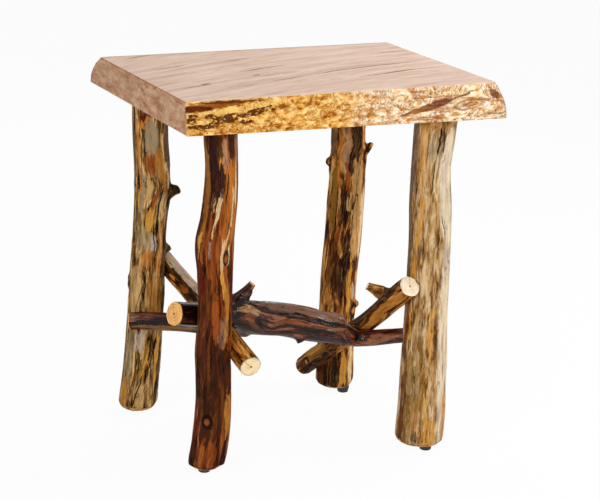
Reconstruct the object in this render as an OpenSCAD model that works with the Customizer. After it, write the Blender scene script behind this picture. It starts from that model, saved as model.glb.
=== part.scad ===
// Rustic side table: a live-edge slab on four peeled log legs.
// A forked log and two crossing branches tie the legs together, and four glides carry the feet.
// Millimetres, Z up, X along the table's width and Y to the back.
// The origin is on the floor, under the middle of the table.

/* [Tabletop] */
// Height of the top face above the floor
table_h = 610; // [540:5:760]
// Width of the slab from end to end
top_w = 528; // [480:1:640]
// Depth of the flat top face
top_d = 353; // [335:1:440]
// Thickness of the slab
top_t = 50; // [44:1:70]
// How far the front live edge stands out at its left end
front_edge_left = 6; // [4:1:30]
// How far the front live edge stands out at its right end
front_edge_right = 38; // [32:1:60]
// How far the back live edge stands out
back_edge = 50; // [20:1:70]

/* [Legs] */
// Diameter of the front left leg
front_left_d = 54; // [50:1:66]
// Diameter of the front right leg
front_right_d = 70; // [56:1:80]
// Diameter of the back left leg
back_left_d = 61; // [52:1:72]
// Diameter of the back right leg
back_right_d = 65; // [54:1:76]
// Distance of the left feet from the slab's left end
left_feet_in = 66; // [50:1:84]
// Distance of the right feet from the slab's right end
right_feet_in = 94; // [66:1:104]
// Distance of the front left foot from the front of the flat top face
front_left_in = 50.5; // [38:0.5:64]
// Distance of the front right foot from the front of the flat top face
front_right_in = 18.5; // [12:0.5:32]
// Distance of the back left foot from the back of the flat top face
back_left_in = 30.5; // [14:0.5:45]
// Distance of the back right foot from the back of the flat top face
back_right_in = 54.5; // [32:0.5:64]
// Height of the bevel round each foot
foot_bevel = 7; // [2:1:10]
// Diameter of the round tenon on each leg
leg_tenon_d = 36; // [28:1:40]
// Length of the round tenon on each leg
leg_tenon_len = 32; // [20:1:36]

/* [Cross stretchers] */
// Diameter of the left cross stretcher
left_cross_d = 34; // [28:1:38]
// Height of its middle where it crosses the front left leg
left_cross_front_h = 202; // [185:1:220]
// Height of its middle where it crosses the back left leg
left_cross_back_h = 251; // [235:1:265]
// How far it runs on in front of the front left leg's middle
left_cross_front_end = 61; // [45:1:75]
// How far it runs on behind the back left leg's middle
left_cross_back_end = 48; // [40:1:65]
// Diameter of the right cross stretcher
right_cross_d = 35; // [30:1:40]
// Height of its middle where it crosses the front right leg
right_cross_front_h = 271; // [255:1:285]
// Height of its middle where it crosses the back right leg
right_cross_back_h = 62; // [55:1:75]
// How far it runs on in front of the front right leg's middle
right_cross_front_end = 24; // [22:1:45]
// How far it runs on behind the back right leg's middle
right_cross_back_end = 31; // [28:1:50]

/* [Forked stretcher] */
// Diameter of its trunk
trunk_d = 56; // [48:1:62]
// Diameter of the front prong, behind the front left leg
front_prong_d = 39; // [34:1:44]
// Diameter of the back prong, in front of the back left leg
back_prong_d = 31; // [26:1:34]
// Diameter of the thin end at the front right leg
thin_end_d = 26; // [22:1:30]
// Height of the front prong's middle at the front left leg
front_prong_h = 250; // [240:1:265]
// Height of the back prong's middle at the back left leg
back_prong_h = 177; // [165:1:190]
// Height of the thin end's middle inside the front right leg
thin_end_h = 196; // [180:1:210]
// How far the front prong runs on past the front left leg
front_prong_end = 48; // [40:1:55]
// How far the back prong runs on past the back left leg
back_prong_end = 21; // [18:1:35]
// Diameter of the tenon on its thin end
thin_tenon_d = 15; // [12:1:18]
// Length of the tenon on its thin end
thin_tenon_len = 24; // [16:1:30]

/* [Joints] */
// Depth of each notch that is cut into a leg
leg_notch = 3; // [2:0.5:5]
// Depth of the flat on a stretcher at a leg
leg_flat = 2.5; // [2:0.5:4]
// Depth of each flat where two stretchers cross
cross_flat = 4; // [2.5:0.5:5]
// Depth of the round pocket that takes the thin end
pocket = 6; // [5:0.5:8]
// Clearance round notches and pockets
notch_gap = 0.8; // [0.4:0.1:1.5]
// Clearance round tenons and screws
fit_gap = 0.1; // [0.05:0.05:0.3]
// Free space past the end of each tenon
end_gap = 0.5; // [0.2:0.1:1]

/* [Screws and glides] */
// Height of each glide
glide_h = 11; // [6:0.5:16]
// Diameter of each glide where it meets the foot
glide_d = 22; // [18:1:30]
// Shank diameter of the glide screws
glide_screw_d = 4; // [3:0.5:5]
// Length of the glide screws under their heads
glide_screw_len = 22; // [16:1:35]
// Shank diameter of the wood screws
wood_screw_d = 5; // [4:0.5:6]
// Length of the screws that hold the laps
lap_screw_len = 55; // [48:1:60]
// Length of the screws that pass through the right legs
long_screw_len = 90; // [84:1:95]
// How deep the screw heads are sunk below the wood
head_sink = 2; // [1:0.5:4]

/* [Hidden] */

// Facets round a log, round a twig, and between the rings along a log
log_sides = 16;
twig_sides = 10;
ring_step = 22;
// True circles for everything that is turned or drilled
$fn = 48;
// Share of its radius by which a log is out of round
ripple = 0.03;
// A cutter reaches this far past what it cuts
reach = 40;

// Sizes that follow from the ones above
slab_z = table_h - top_t;
leg_len = slab_z - glide_h;
// The live edges stand out unevenly, so the top face lies a little forward
top_y = (front_edge_right - back_edge) / 2;
foot_left = top_w / 2 - left_feet_in;
foot_right = top_w / 2 - right_feet_in;
top_front = top_y - top_d / 2;
top_back = top_y + top_d / 2;

// A smooth curve through rows of [place along the curve, value, value, ...]
function unit(v) = v / norm(v);
function mix(a, b, t) = a + (b - a) * t;
function row_before(rows, t, i = 0) =
    i >= len(rows) - 2 || t < rows[i + 1][0] ? i : row_before(rows, t, i + 1);
function slope(rows, c, i) =
    let (a = max(i - 1, 0), b = min(i + 1, len(rows) - 1))
    (rows[b][c] - rows[a][c]) / (rows[b][0] - rows[a][0]);
function curve(rows, c, t) =
    let (i = row_before(rows, t), h = rows[i + 1][0] - rows[i][0], s = (t - rows[i][0]) / h)
    rows[i][c] * (1 + s * s * (2 * s - 3)) + rows[i + 1][c] * s * s * (3 - 2 * s)
        + slope(rows, c, i) * h * s * (1 - s) * (1 - s) - slope(rows, c, i + 1) * h * s * s * (1 - s);

// Rows for a curve through points, each with its distance along the run and its radius
function run_to(points, i) = i == 0 ? 0 : run_to(points, i - 1) + norm(points[i] - points[i - 1]);
function rows_of(points, radii) = [
    for (i = [0 : len(points) - 1]) [run_to(points, i), points[i], radii[i]]
];
function way_at(rows, t) = unit(curve(rows, 1, t + 2) - curve(rows, 1, t - 2));

// How far out of round a log is at an angle, turning slowly along its length
function rough(angle, along, seed) =
    let (oval = cos(2 * angle + seed + 150 * along), three = cos(3 * angle - 2 * seed - 240 * along))
    1 + ripple * (oval + 0.7 * three) / 1.7;
function ring(centre, side, up, r, along, seed, sides) = [
    for (k = [0 : sides - 1])
        let (angle = 360 * k / sides)
        centre + r * rough(angle, along, seed) * (side * cos(angle) + up * sin(angle))
];

// A closed skin over rings of points that all have the same number of sides
module skin(rings) {
    sides = len(rings[0]);
    last = len(rings) - 1;
    polyhedron(
        points = [for (one = rings) each one],
        faces = [
            for (k = [1 : sides - 2]) [0, k, k + 1],
            for (k = [1 : sides - 2]) [last * sides, last * sides + k + 1, last * sides + k],
            for (j = [0 : last - 1], k = [0 : sides - 1])
                let (n = (k + 1) % sides, a = j * sides, b = a + sides)
                each [[a + k, b + k, b + n], [a + k, b + n, a + n]]
        ],
        convexity = 6);
}

// Legs: [foot, top, diameter, seed, rows of [share of the length, bend in x, bend in y, girth],
//     knots of [share of the length, heading, climb, how far it stands out, root radius, tip radius]]
// Bends, girth and the knots' sizes are shares of the leg's diameter
front_left = [
    [-foot_left + 4, top_front + front_left_in], [-foot_left + 10, top_front + front_left_in - 5],
    front_left_d, 20,
    [[0, -0.05, 0, 1.07], [0.08, 0.09, 0.03, 1.06], [0.17, 0.15, 0.06, 1.02],
     [0.33, 0.08, 0.05, 0.98], [0.5, 0.02, -0.02, 0.98], [0.65, -0.04, -0.06, 1.02],
     [0.76, 0.07, -0.03, 0.97], [0.86, 0.12, 0.02, 0.95], [1, -0.03, 0, 0.95]],
    [[0.137, 236, 0, 0.056, 0.167, 0.111]]];
front_right = [
    [foot_right + 7, top_front + front_right_in - 1], [foot_right + 3, top_front + front_right_in + 4],
    front_right_d, 75,
    [[0, -0.06, 0, 1.13], [0.08, -0.03, 0.01, 1.13], [0.25, -0.01, 0.05, 1.08],
     [0.42, -0.02, 0.03, 1.01], [0.6, -0.05, -0.02, 1], [0.75, -0.09, -0.03, 0.98],
     [0.83, -0.11, -0.02, 0.92], [0.91, -0.06, 0, 0.97], [1, -0.01, 0, 1.01]],
    []];
back_left = [
    [-foot_left - 4, top_back - back_left_in], [-foot_left + 6, top_back - back_left_in - 6],
    back_left_d, 130,
    [[0, -0.05, 0, 1.06], [0.15, 0.06, 0.03, 1.05], [0.35, 0.13, 0.06, 1.03],
     [0.5, 0.13, 0.02, 0.97], [0.58, 0.13, -0.01, 0.95], [0.68, 0.15, -0.03, 0.99],
     [0.75, 0.14, -0.03, 1], [0.87, 0.05, 0, 1], [1, 0, 0, 1.01]],
    [[0.675, -27, 18, 0.26, 0.29, 0.135], [0.492, -27, 20, 0.16, 0.19, 0.12]]];
back_right = [
    [foot_right - 6, top_back - back_right_in], [foot_right - 6, top_back - back_right_in + 2],
    back_right_d, 210,
    [[0, -0.03, 0, 1.04], [0.15, -0.03, 0.03, 1.01], [0.33, -0.01, 0.05, 1],
     [0.5, 0.03, 0.01, 1.02], [0.68, 0.05, -0.03, 0.98], [0.82, 0.03, -0.03, 0.92],
     [0.92, 0.02, -0.01, 0.92], [1, 0, 0, 0.93]],
    [[0.735, 172, 8, 0.11, 0.16, 0.11], [0.72, -27, 48, 0.46, 0.15, 0.085],
     [0.259, -36, 15, 0.11, 0.17, 0.1]]];
legs = [front_left, front_right, back_left, back_right];

function leg_share(z) = (z - glide_h) / leg_len;
function leg_at(leg, z) =
    let (t = leg_share(z), p = mix(leg[0], leg[1], t))
    [p.x + leg[2] * curve(leg[4], 1, t), p.y + leg[2] * curve(leg[4], 2, t), z];
function leg_r(leg, z) = leg[2] / 2 * curve(leg[4], 3, leg_share(z));

// Half the width of leg that stands within a given depth of its seat plane
function leg_reach(leg, z, depth) =
    let (r = leg_r(leg, z) * (1 + ripple)) sqrt(r * r - (r - depth) * (r - depth));

// Where a stretcher's middle runs when its flat lies in a leg's notch
function lap_offset(leg, z, r) = leg_r(leg, z) - leg_notch + r - leg_flat;
// The seat itself, on the line from the leg's middle to the stretcher
function seat_offset(leg, z) = leg_r(leg, z) - leg_notch;

// Left cross stretcher: along the inner sides of the left legs, high at the back
left_cross_r = left_cross_d / 2;
left_cross_front = leg_at(front_left, left_cross_front_h)
    + [lap_offset(front_left, left_cross_front_h, left_cross_r), 0, 0];
left_cross_back = leg_at(back_left, left_cross_back_h)
    + [lap_offset(back_left, left_cross_back_h, left_cross_r), 0, 0];
left_cross_way = unit(left_cross_back - left_cross_front);
left_cross_front_seat = left_cross_front - [left_cross_r - leg_flat, 0, 0];
left_cross_back_seat = left_cross_back - [left_cross_r - leg_flat, 0, 0];
// It bows away from the legs and sags a little between them
left_cross_bow = left_cross_d * [0.15, 0, -0.09];
left_cross_rows = rows_of([
        left_cross_front - left_cross_way * left_cross_front_end,
        left_cross_front,
        mix(left_cross_front, left_cross_back, 0.29) + left_cross_bow,
        mix(left_cross_front, left_cross_back, 0.62) + left_cross_bow,
        left_cross_back,
        left_cross_back + left_cross_way * left_cross_back_end],
    left_cross_r * [1.02, 1, 1, 0.98, 0.98, 0.96]);

// Right cross stretcher: along the inner sides of the right legs, high at the front
right_cross_r = right_cross_d / 2;
right_cross_front_core = leg_at(front_right, right_cross_front_h);
right_cross_back_core = leg_at(back_right, right_cross_back_h);
right_cross_front = right_cross_front_core
    - [lap_offset(front_right, right_cross_front_h, right_cross_r), 0, 0];
right_cross_back = right_cross_back_core
    - [lap_offset(back_right, right_cross_back_h, right_cross_r), 0, 0];
right_cross_way = unit(right_cross_back - right_cross_front);
right_cross_front_seat = right_cross_front + [right_cross_r - leg_flat, 0, 0];
right_cross_back_seat = right_cross_back + [right_cross_r - leg_flat, 0, 0];
right_cross_sag = right_cross_d * [0, 0, -0.2];
right_cross_rows = rows_of([
        right_cross_front - right_cross_way * right_cross_front_end / right_cross_way.y,
        right_cross_front,
        mix(right_cross_front, right_cross_back, 0.34) + right_cross_sag,
        mix(right_cross_front, right_cross_back, 0.69) + right_cross_sag / 2,
        right_cross_back,
        right_cross_back + right_cross_way * right_cross_back_end / right_cross_way.y],
    right_cross_r * [1, 1, 0.97, 1, 1, 0.97]);

// Forked stretcher: where it meets the legs and the two cross stretchers
front_prong_r = front_prong_d / 2;
back_prong_r = back_prong_d / 2;
thin_end_r = thin_end_d / 2;
// Compass heading and climb of the front prong towards its free end
front_prong_turn = 195;
front_prong_climb = 13;
front_prong_way = [cos(front_prong_turn) * cos(front_prong_climb),
    sin(front_prong_turn) * cos(front_prong_climb), sin(front_prong_climb)];
front_prong_side = [-cos(front_prong_turn + 90), -sin(front_prong_turn + 90), 0];
front_prong_seat = leg_at(front_left, front_prong_h)
    + front_prong_side * seat_offset(front_left, front_prong_h);
front_prong_lap = leg_at(front_left, front_prong_h)
    + front_prong_side * lap_offset(front_left, front_prong_h, front_prong_r);
// Heading of the back prong towards its free end, which falls a little
back_prong_turn = 150;
back_prong_way = unit([cos(back_prong_turn), sin(back_prong_turn), -0.12]);
back_prong_side = [cos(back_prong_turn + 90), sin(back_prong_turn + 90), 0];
back_prong_seat = leg_at(back_left, back_prong_h)
    + back_prong_side * seat_offset(back_left, back_prong_h);
back_prong_lap = leg_at(back_left, back_prong_h)
    + back_prong_side * lap_offset(back_left, back_prong_h, back_prong_r);
// The trunk rides on the left cross stretcher, not far behind the front left leg
left_crossing_run = mix(left_cross_rows[1][0], left_cross_rows[4][0], 0.225);
left_crossing = curve(left_cross_rows, 1, left_crossing_run);
left_crossing_way = way_at(left_cross_rows, left_crossing_run);
left_crossing_up = unit(cross(left_crossing_way, front_prong_way));
left_crossing_r = front_prong_r * 1.06;
left_crossing_seat = left_crossing + left_crossing_up * (left_cross_r - cross_flat);
trunk_over = left_crossing + left_crossing_up * (left_cross_r + left_crossing_r - 2 * cross_flat);
// The right cross stretcher rests on the trunk's thin end, at its elbow
elbow_way = unit([0.84, -0.25, -0.48]);
right_crossing_run = mix(right_cross_rows[1][0], right_cross_rows[4][0], 0.4);
right_crossing = curve(right_cross_rows, 1, right_crossing_run);
right_crossing_way = way_at(right_cross_rows, right_crossing_run);
right_crossing_down = unit(cross(right_crossing_way, elbow_way));
elbow_r = thin_end_r * 1.12;
right_crossing_seat = right_crossing + right_crossing_down * (right_cross_r - cross_flat / 2);
elbow = right_crossing + right_crossing_down * (right_cross_r + elbow_r - cross_flat);
// The thin end comes at the front right leg from behind and below
thin_end_turn = 130;
thin_end_climb = -16;
thin_end_out = [cos(thin_end_turn) * cos(thin_end_climb),
    sin(thin_end_turn) * cos(thin_end_climb), sin(thin_end_climb)];
thin_end_core = leg_at(front_right, thin_end_h);
thin_end_seat = thin_end_core + thin_end_out * (leg_r(front_right, thin_end_h) - pocket);
// The trunk bows to the back and crowns upwards between its two crossings
trunk_bow = trunk_d * [0, 0.25, 0.07];
trunk_r = trunk_d / 2;
main_rows = rows_of([
        front_prong_lap + front_prong_way * front_prong_end,
        front_prong_lap,
        trunk_over,
        mix(trunk_over, elbow, 0.17) + [0, trunk_bow.y * 0.6, -trunk_bow.z * 0.5],
        mix(trunk_over, elbow, 0.42) + trunk_bow,
        mix(trunk_over, elbow, 0.68) + trunk_bow,
        mix(trunk_over, elbow, 0.86) + trunk_bow * 0.3,
        elbow,
        thin_end_seat + thin_end_out * thin_end_d * 0.92,
        thin_end_seat,
        thin_end_seat - thin_end_out * thin_end_d * 0.38],
    [front_prong_r, front_prong_r, left_crossing_r, trunk_r * 0.98, trunk_r, trunk_r * 0.95, trunk_r * 0.68,
        elbow_r, thin_end_r, thin_end_r, thin_end_r]);
function trunk_at(share) = curve(main_rows, 1, mix(main_rows[2][0], main_rows[7][0], share));
// The back prong leaves the trunk low down and dips under the left cross stretcher
fork_root = trunk_at(0.17) - [0, 0, 0.35 * trunk_r];
under_gap = 1.5;
fork_gap = left_cross_r + back_prong_r + under_gap;
beside_run = left_crossing_run + 1.32 * left_cross_d;
under_run = left_crossing_run + 2.59 * left_cross_d;
prong_beside = curve(left_cross_rows, 1, beside_run) + [0.85 * fork_gap, 0, -0.75 * fork_gap];
prong_under = curve(left_cross_rows, 1, under_run) - [0, 0, fork_gap];
back_prong_rows = rows_of([
        fork_root,
        prong_beside,
        prong_under,
        back_prong_lap,
        back_prong_lap + back_prong_way * back_prong_end],
    back_prong_r * [1.25, 1, 1, 1, 0.97]);

// A log swept along rows of [distance, middle, radius], with each ring square to its run
module log_along(rows, seed, sides) {
    first = rows[0][0];
    run = rows[len(rows) - 1][0] - first;
    steps = ceil(run / ring_step);
    skin([
        for (j = [0 : steps])
            let (t = j / steps, s = first + run * t)
            let (ahead = min(s + 1, first + run), back = max(s - 1, first))
            let (way = unit(curve(rows, 1, ahead) - curve(rows, 1, back)))
            let (side = unit(cross([0, 0, 1], way)))
            ring(curve(rows, 1, s), side, cross(way, side), curve(rows, 2, s), t, seed, sides)
    ]);
}

// A pruned twig: broad where it leaves the log, with a rounded cut end
module twig(root, way, len, root_r, tip_r, seed) {
    side = unit(cross([0, 0, 1], way));
    rows = [[0, root_r], [0.45, mix(root_r, tip_r, 0.45)], [0.8, tip_r], [1, tip_r * 0.8]];
    skin([
        for (row = rows)
            ring(root + way * len * row[0], side, cross(way, side), row[1], row[0], seed, twig_sides)
    ]);
}

// A box that starts on a plane through p and reaches out along n
module block(p, n, way, half_len, half_w, deep) {
    along = unit(way - n * (way * n));
    over = cross(n, along);
    multmatrix([[along.x, over.x, n.x, p.x], [along.y, over.y, n.y, p.y], [along.z, over.z, n.z, p.z],
        [0, 0, 0, 1]])
        translate([-half_len, -half_w, 0]) cube([2 * half_len, 2 * half_w, deep]);
}

// Turns what stands on Z so that it starts at p and points along way
module aim(p, way) {
    translate(p) rotate([0, acos(way.z), atan2(way.y, way.x)]) children();
}

// A notch across a leg for a stretcher that runs along way, on the side n
module leg_notch_cut(p, n, way, r) {
    block(p, n, way, 2 * r + reach, r * (1 + ripple) + notch_gap, reach);
}

// The flat on a stretcher where it lies against a leg, on the side n of the stretcher
module leg_flat_cut(leg, z, p, n, r) {
    half = leg_reach(leg, z, leg_notch + leg_flat + r * ripple + notch_gap);
    block(p, n, [0, 0, 1], 3 * r, half, reach);
}

// Screws: [head place, direction, length]
screw_head_d = wood_screw_d * 1.9;
screw_head_h = wood_screw_d * 0.55;
function sunk(p, way) = p + way * head_sink;
lap_screw_places = [
    // Left cross stretcher into the front and back left legs, from inside the table
    [sunk(left_cross_front + [left_cross_r, 0, 0], [-1, 0, 0]), [-1, 0, 0]],
    [sunk(left_cross_back + [left_cross_r, 0, 0], [-1, 0, 0]), [-1, 0, 0]],
    // Front prong into the front left leg, from behind
    [sunk(front_prong_lap + front_prong_side * front_prong_r, -front_prong_side), -front_prong_side],
    // Back prong into the back left leg, from the front
    [sunk(back_prong_lap + back_prong_side * back_prong_r, -back_prong_side), -back_prong_side],
    // Up through the left cross stretcher into the trunk
    [sunk(left_crossing - left_crossing_up * left_cross_r, left_crossing_up), left_crossing_up],
    // Down through the right cross stretcher into the elbow
    [sunk(right_crossing - right_crossing_down * right_cross_r, right_crossing_down), right_crossing_down]];
// Through the right legs from outside the table, into the right cross stretcher
function outer_side(core, leg) = core + [leg_r(leg, core.z), 0, 0];
long_screw_places = [
    [sunk(outer_side(right_cross_front_core, front_right), [-1, 0, 0]), [-1, 0, 0]],
    [sunk(outer_side(right_cross_back_core, back_right), [-1, 0, 0]), [-1, 0, 0]]];

// Half outline of a countersunk wood screw, which widens by gap all round for its hole
module screw_outline(len, gap) {
    r = wood_screw_d / 2 + gap;
    head_r = screw_head_d / 2 + gap;
    polygon([
        [0, 0], [head_r, 0], [r, screw_head_h], [r, len - wood_screw_d], [gap, len + gap], [0, len + gap]]);
}
module wood_screw(place, len) {
    socket_d = wood_screw_d * 0.7;
    aim(place[0], place[1])
        difference() {
            rotate_extrude() screw_outline(len, 0);
            translate([0, 0, -1]) cylinder(d = socket_d, h = 1 + screw_head_h * 0.7, $fn = 6);
        }
}
module wood_screw_hole(place, len) {
    aim(place[0], place[1]) {
        rotate_extrude() screw_outline(len, fit_gap);
        translate([0, 0, -reach / 2]) cylinder(r = screw_head_d / 2 + fit_gap, h = reach / 2 + 0.01);
    }
}
module lap_screw_holes() {
    for (place = lap_screw_places) wood_screw_hole(place, lap_screw_len);
}
module long_screw_holes() {
    for (place = long_screw_places) wood_screw_hole(place, long_screw_len);
}

// Glides: each sits a little off its foot's middle, by a share of the leg's diameter
glide_shift = [[0, 0.07], [0.07, -0.2], [0, 0.2], [0.14, -0.23]];
function glide_at(i) =
    let (p = leg_at(legs[i], glide_h), d = legs[i][2])
    [p.x + d * glide_shift[i].x, p.y + d * glide_shift[i].y, 0];
glide_head_r = glide_screw_d;
glide_head_h = glide_screw_d * 0.6;
// The screw's head sits in a recess of the glide, clear of the floor
recess_h = glide_head_h + 1;
recess_r = glide_head_r + 1;
glide_hole_r = glide_screw_d / 2 + fit_gap;
module glide(i) {
    r = glide_d / 2;
    edge = 1.5;
    color([0.06, 0.06, 0.07])
    translate(glide_at(i))
        rotate_extrude()
            polygon([
                [recess_r, 0], [r - edge * 1.5, 0], [r - edge, edge / 2], [r, glide_h - edge], [r, glide_h],
                [glide_hole_r, glide_h], [glide_hole_r, recess_h], [recess_r, recess_h]]);
}
module glide_screw(i) {
    r = glide_screw_d / 2;
    point = glide_screw_len - glide_screw_d;
    translate(glide_at(i) + [0, 0, recess_h])
        rotate_extrude()
            polygon([
                [0, -glide_head_h], [glide_head_r - 0.8, -glide_head_h], [glide_head_r, -glide_head_h / 2],
                [glide_head_r, 0], [r, 0], [r, point], [0, glide_screw_len]]);
}
module glide_screws() {
    color([0.7, 0.7, 0.72]) for (i = [0 : 3]) glide_screw(i);
}
module glide_screw_hole(i) {
    translate(glide_at(i)) cylinder(r = glide_hole_r, h = recess_h + glide_screw_len + end_gap);
}

// A leg's log, from its bevelled foot to the shoulder under the slab, with its tenon
module leg_log(i) {
    leg = legs[i];
    rings = ceil(leg_len / ring_step);
    stations = [for (j = [0 : rings]) glide_h + leg_len * j / rings];
    heights = concat([glide_h], [glide_h + foot_bevel], [for (j = [1 : rings]) stations[j]]);
    skin([
        for (z = heights)
            let (r = leg_r(leg, z) - (z == glide_h ? foot_bevel : 0))
            ring(leg_at(leg, z), [1, 0, 0], [0, 1, 0], r, leg_share(z), leg[3], log_sides)
    ]);
}
module leg_tenon(i) {
    p = leg_at(legs[i], slab_z);
    translate([p.x, p.y, slab_z]) cylinder(d = leg_tenon_d, h = leg_tenon_len);
}
// The knots and pruned twigs of a leg, each rooted inside the log
module leg_knots(i) {
    d = legs[i][2];
    for (knot = legs[i][5]) {
        z = glide_h + leg_len * knot[0];
        heading = knot[1];
        climb = knot[2];
        way = [cos(heading) * cos(climb), sin(heading) * cos(climb), sin(climb)];
        half_r = leg_r(legs[i], z) / 2;
        root = leg_at(legs[i], z) + way * half_r;
        twig(root, way, half_r + d * knot[3], d * knot[4], d * knot[5], heading);
    }
}
module leg_blank(i) {
    leg_log(i);
    leg_tenon(i);
    leg_knots(i);
}

module leg_front_left() {
    color([0.42, 0.2, 0.1])
    difference() {
        union() leg_blank(0);
        leg_notch_cut(left_cross_front_seat, [1, 0, 0], left_cross_way, left_cross_r);
        leg_notch_cut(front_prong_seat, front_prong_side, front_prong_way, front_prong_r);
        lap_screw_holes();
        glide_screw_hole(0);
    }
}
module leg_front_right() {
    color([0.82, 0.7, 0.5])
    difference() {
        union() leg_blank(1);
        leg_notch_cut(right_cross_front_seat, [-1, 0, 0], right_cross_way, right_cross_r);
        aim(thin_end_seat, thin_end_out) cylinder(r = thin_end_r * (1 + ripple) + notch_gap, h = reach);
        aim(thin_end_seat, -thin_end_out)
            cylinder(r = thin_tenon_d / 2 + fit_gap, h = thin_tenon_len + end_gap);
        long_screw_holes();
        glide_screw_hole(1);
    }
}
module leg_back_left() {
    color([0.62, 0.5, 0.33])
    difference() {
        union() leg_blank(2);
        leg_notch_cut(left_cross_back_seat, [1, 0, 0], left_cross_way, left_cross_r);
        leg_notch_cut(back_prong_seat, back_prong_side, back_prong_way, back_prong_r);
        lap_screw_holes();
        glide_screw_hole(2);
    }
}
module leg_back_right() {
    color([0.55, 0.4, 0.25])
    difference() {
        union() leg_blank(3);
        leg_notch_cut(right_cross_back_seat, [-1, 0, 0], right_cross_way, right_cross_r);
        long_screw_holes();
        glide_screw_hole(3);
    }
}

// Left cross stretcher, with flats at both legs and under the trunk
module left_cross_stretcher() {
    color([0.7, 0.5, 0.25])
    difference() {
        log_along(left_cross_rows, 40, log_sides);
        leg_flat_cut(front_left, left_cross_front_h, left_cross_front_seat, [-1, 0, 0], left_cross_r);
        leg_flat_cut(back_left, left_cross_back_h, left_cross_back_seat, [-1, 0, 0], left_cross_r);
        block(left_crossing_seat, left_crossing_up, front_prong_way, reach, trunk_r * 0.92, left_cross_r);
        lap_screw_holes();
    }
}

// Right cross stretcher, with its pruned twig, flats at both legs and one on the elbow
module right_cross_stretcher() {
    d = right_cross_d;
    twig_root = curve(right_cross_rows, 1, right_cross_rows[1][0] + 0.77 * d);
    color([0.72, 0.52, 0.28])
    difference() {
        union() {
            log_along(right_cross_rows, 300, log_sides);
            twig(twig_root, unit([-0.8, 0.5, 0.38]), 1.4 * d, 0.42 * d, 0.23 * d, 60);
        }
        leg_flat_cut(front_right, right_cross_front_h, right_cross_front_seat, [1, 0, 0], right_cross_r);
        leg_flat_cut(back_right, right_cross_back_h, right_cross_back_seat, [1, 0, 0], right_cross_r);
        block(right_crossing_seat, right_crossing_down, elbow_way, reach,
            elbow_r * (1 + ripple) + notch_gap, reach);
        lap_screw_holes();
        long_screw_holes();
    }
}

// Forked log: trunk, front prong and thin end in one sweep, the back prong, a twig, a pruned shoulder
// and the nub of a small branch on the trunk's underside
module main_stretcher() {
    d = trunk_d;
    shoulder_root = trunk_at(0.62);
    nub_root = trunk_at(0.52);
    twig_root = trunk_at(0);
    color([0.3, 0.17, 0.1])
    difference() {
        union() {
            log_along(main_rows, 110, log_sides);
            log_along(back_prong_rows, 200, log_sides);
            twig(twig_root, unit([0.57, -0.15, 0.78]), 1.1 * d, 0.36 * d, 0.15 * d, 20);
            twig(shoulder_root, unit([0.97, -0.05, -0.06]), 1.1 * d, 0.41 * d, 0.33 * d, 90);
            twig(nub_root, unit([0.15, -0.42, -0.9]), 0.64 * d, 0.28 * d, 0.15 * d, 45);
            aim(thin_end_seat + thin_end_out * 5, -thin_end_out)
                cylinder(d = thin_tenon_d, h = thin_tenon_len + 5);
        }
        // The thin end stops at its pocket, round the tenon
        difference() {
            aim(thin_end_seat, -thin_end_out) cylinder(r = thin_end_r * 1.5, h = reach);
            aim(thin_end_seat + thin_end_out, -thin_end_out) cylinder(d = thin_tenon_d, h = reach * 2);
        }
        leg_flat_cut(front_left, front_prong_h, front_prong_seat, -front_prong_side, front_prong_r);
        leg_flat_cut(back_left, back_prong_h, back_prong_seat, -back_prong_side, back_prong_r);
        block(left_crossing_seat, -left_crossing_up, left_crossing_way, reach,
            left_cross_r * (1 + ripple) + notch_gap, reach);
        block(right_crossing_seat, -right_crossing_down, right_crossing_way, reach,
            right_cross_r * (1 + ripple) + notch_gap, reach);
        lap_screw_holes();
    }
}

// Live edge: how far it stands out at a place along the width, and its rounding from top to bottom
function share_x(x) = x / top_w + 0.5;
function waves(x, seed) =
    let (t = share_x(x)) sin(180 * t) * (sin(430 * t + seed) + 0.6 * sin(1010 * t + 2 * seed)) / 1.6;
front_wave = 3;
back_wave = 4;
function front_out(x) =
    mix(front_edge_left, front_edge_right, share_x(x)) + front_wave * waves(x, 30);
function back_out(x) = back_edge - back_wave * (1 + waves(x, 200)) / 2;
function bulge(t) = 1 - pow(1 - t, 2.2);
edge_steps = [0, 0.06, 0.16, 0.3, 0.5, 0.75, 0.92, 1];
function tuck(t) = t > 0.9 ? 3 * (t - 0.9) / 0.1 : 0;
slab_sections = 22;
slab_rings = [
    for (j = [0 : slab_sections])
        let (x = top_w * (j / slab_sections - 0.5))
        concat(
            [for (t = edge_steps)
                [x, top_y - top_d / 2 - front_out(x) * bulge(t) + tuck(t), table_h - top_t * t]],
            [for (k = [len(edge_steps) - 1 : -1 : 0])
                let (t = edge_steps[k])
                [x, top_y + top_d / 2 + back_out(x) * bulge(t) - 2 * tuck(t), table_h - top_t * t]])
];
module tabletop() {
    color([0.8, 0.62, 0.42])
    difference() {
        skin(slab_rings);
        for (leg = legs) {
            p = leg_at(leg, slab_z);
            translate([p.x, p.y, slab_z - 1])
                cylinder(r = leg_tenon_d / 2 + fit_gap, h = leg_tenon_len + end_gap + 1);
        }
    }
}

module lap_screws() {
    color([0.2, 0.2, 0.2]) for (place = lap_screw_places) wood_screw(place, lap_screw_len);
}
module long_screws() {
    color([0.2, 0.2, 0.2]) for (place = long_screw_places) wood_screw(place, long_screw_len);
}

tabletop();
leg_front_left();
leg_front_right();
leg_back_left();
leg_back_right();
main_stretcher();
left_cross_stretcher();
right_cross_stretcher();
glide(0);  // glide_front_left
glide(1);  // glide_front_right
glide(2);  // glide_back_left
glide(3);  // glide_back_right
glide_screws();
lap_screws();
long_screws();
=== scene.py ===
# %% [markdown]
# # A side table of logs and branches
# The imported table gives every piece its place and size. This script gives the pieces their looks: peeled
# logs with the bark still on in patches, sawn ends with rings, and a slab whose live edges are carved by
# beetles, all under a clear gloss varnish. The frame comes first, and nothing in it moves.

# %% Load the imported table
import math

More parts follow.
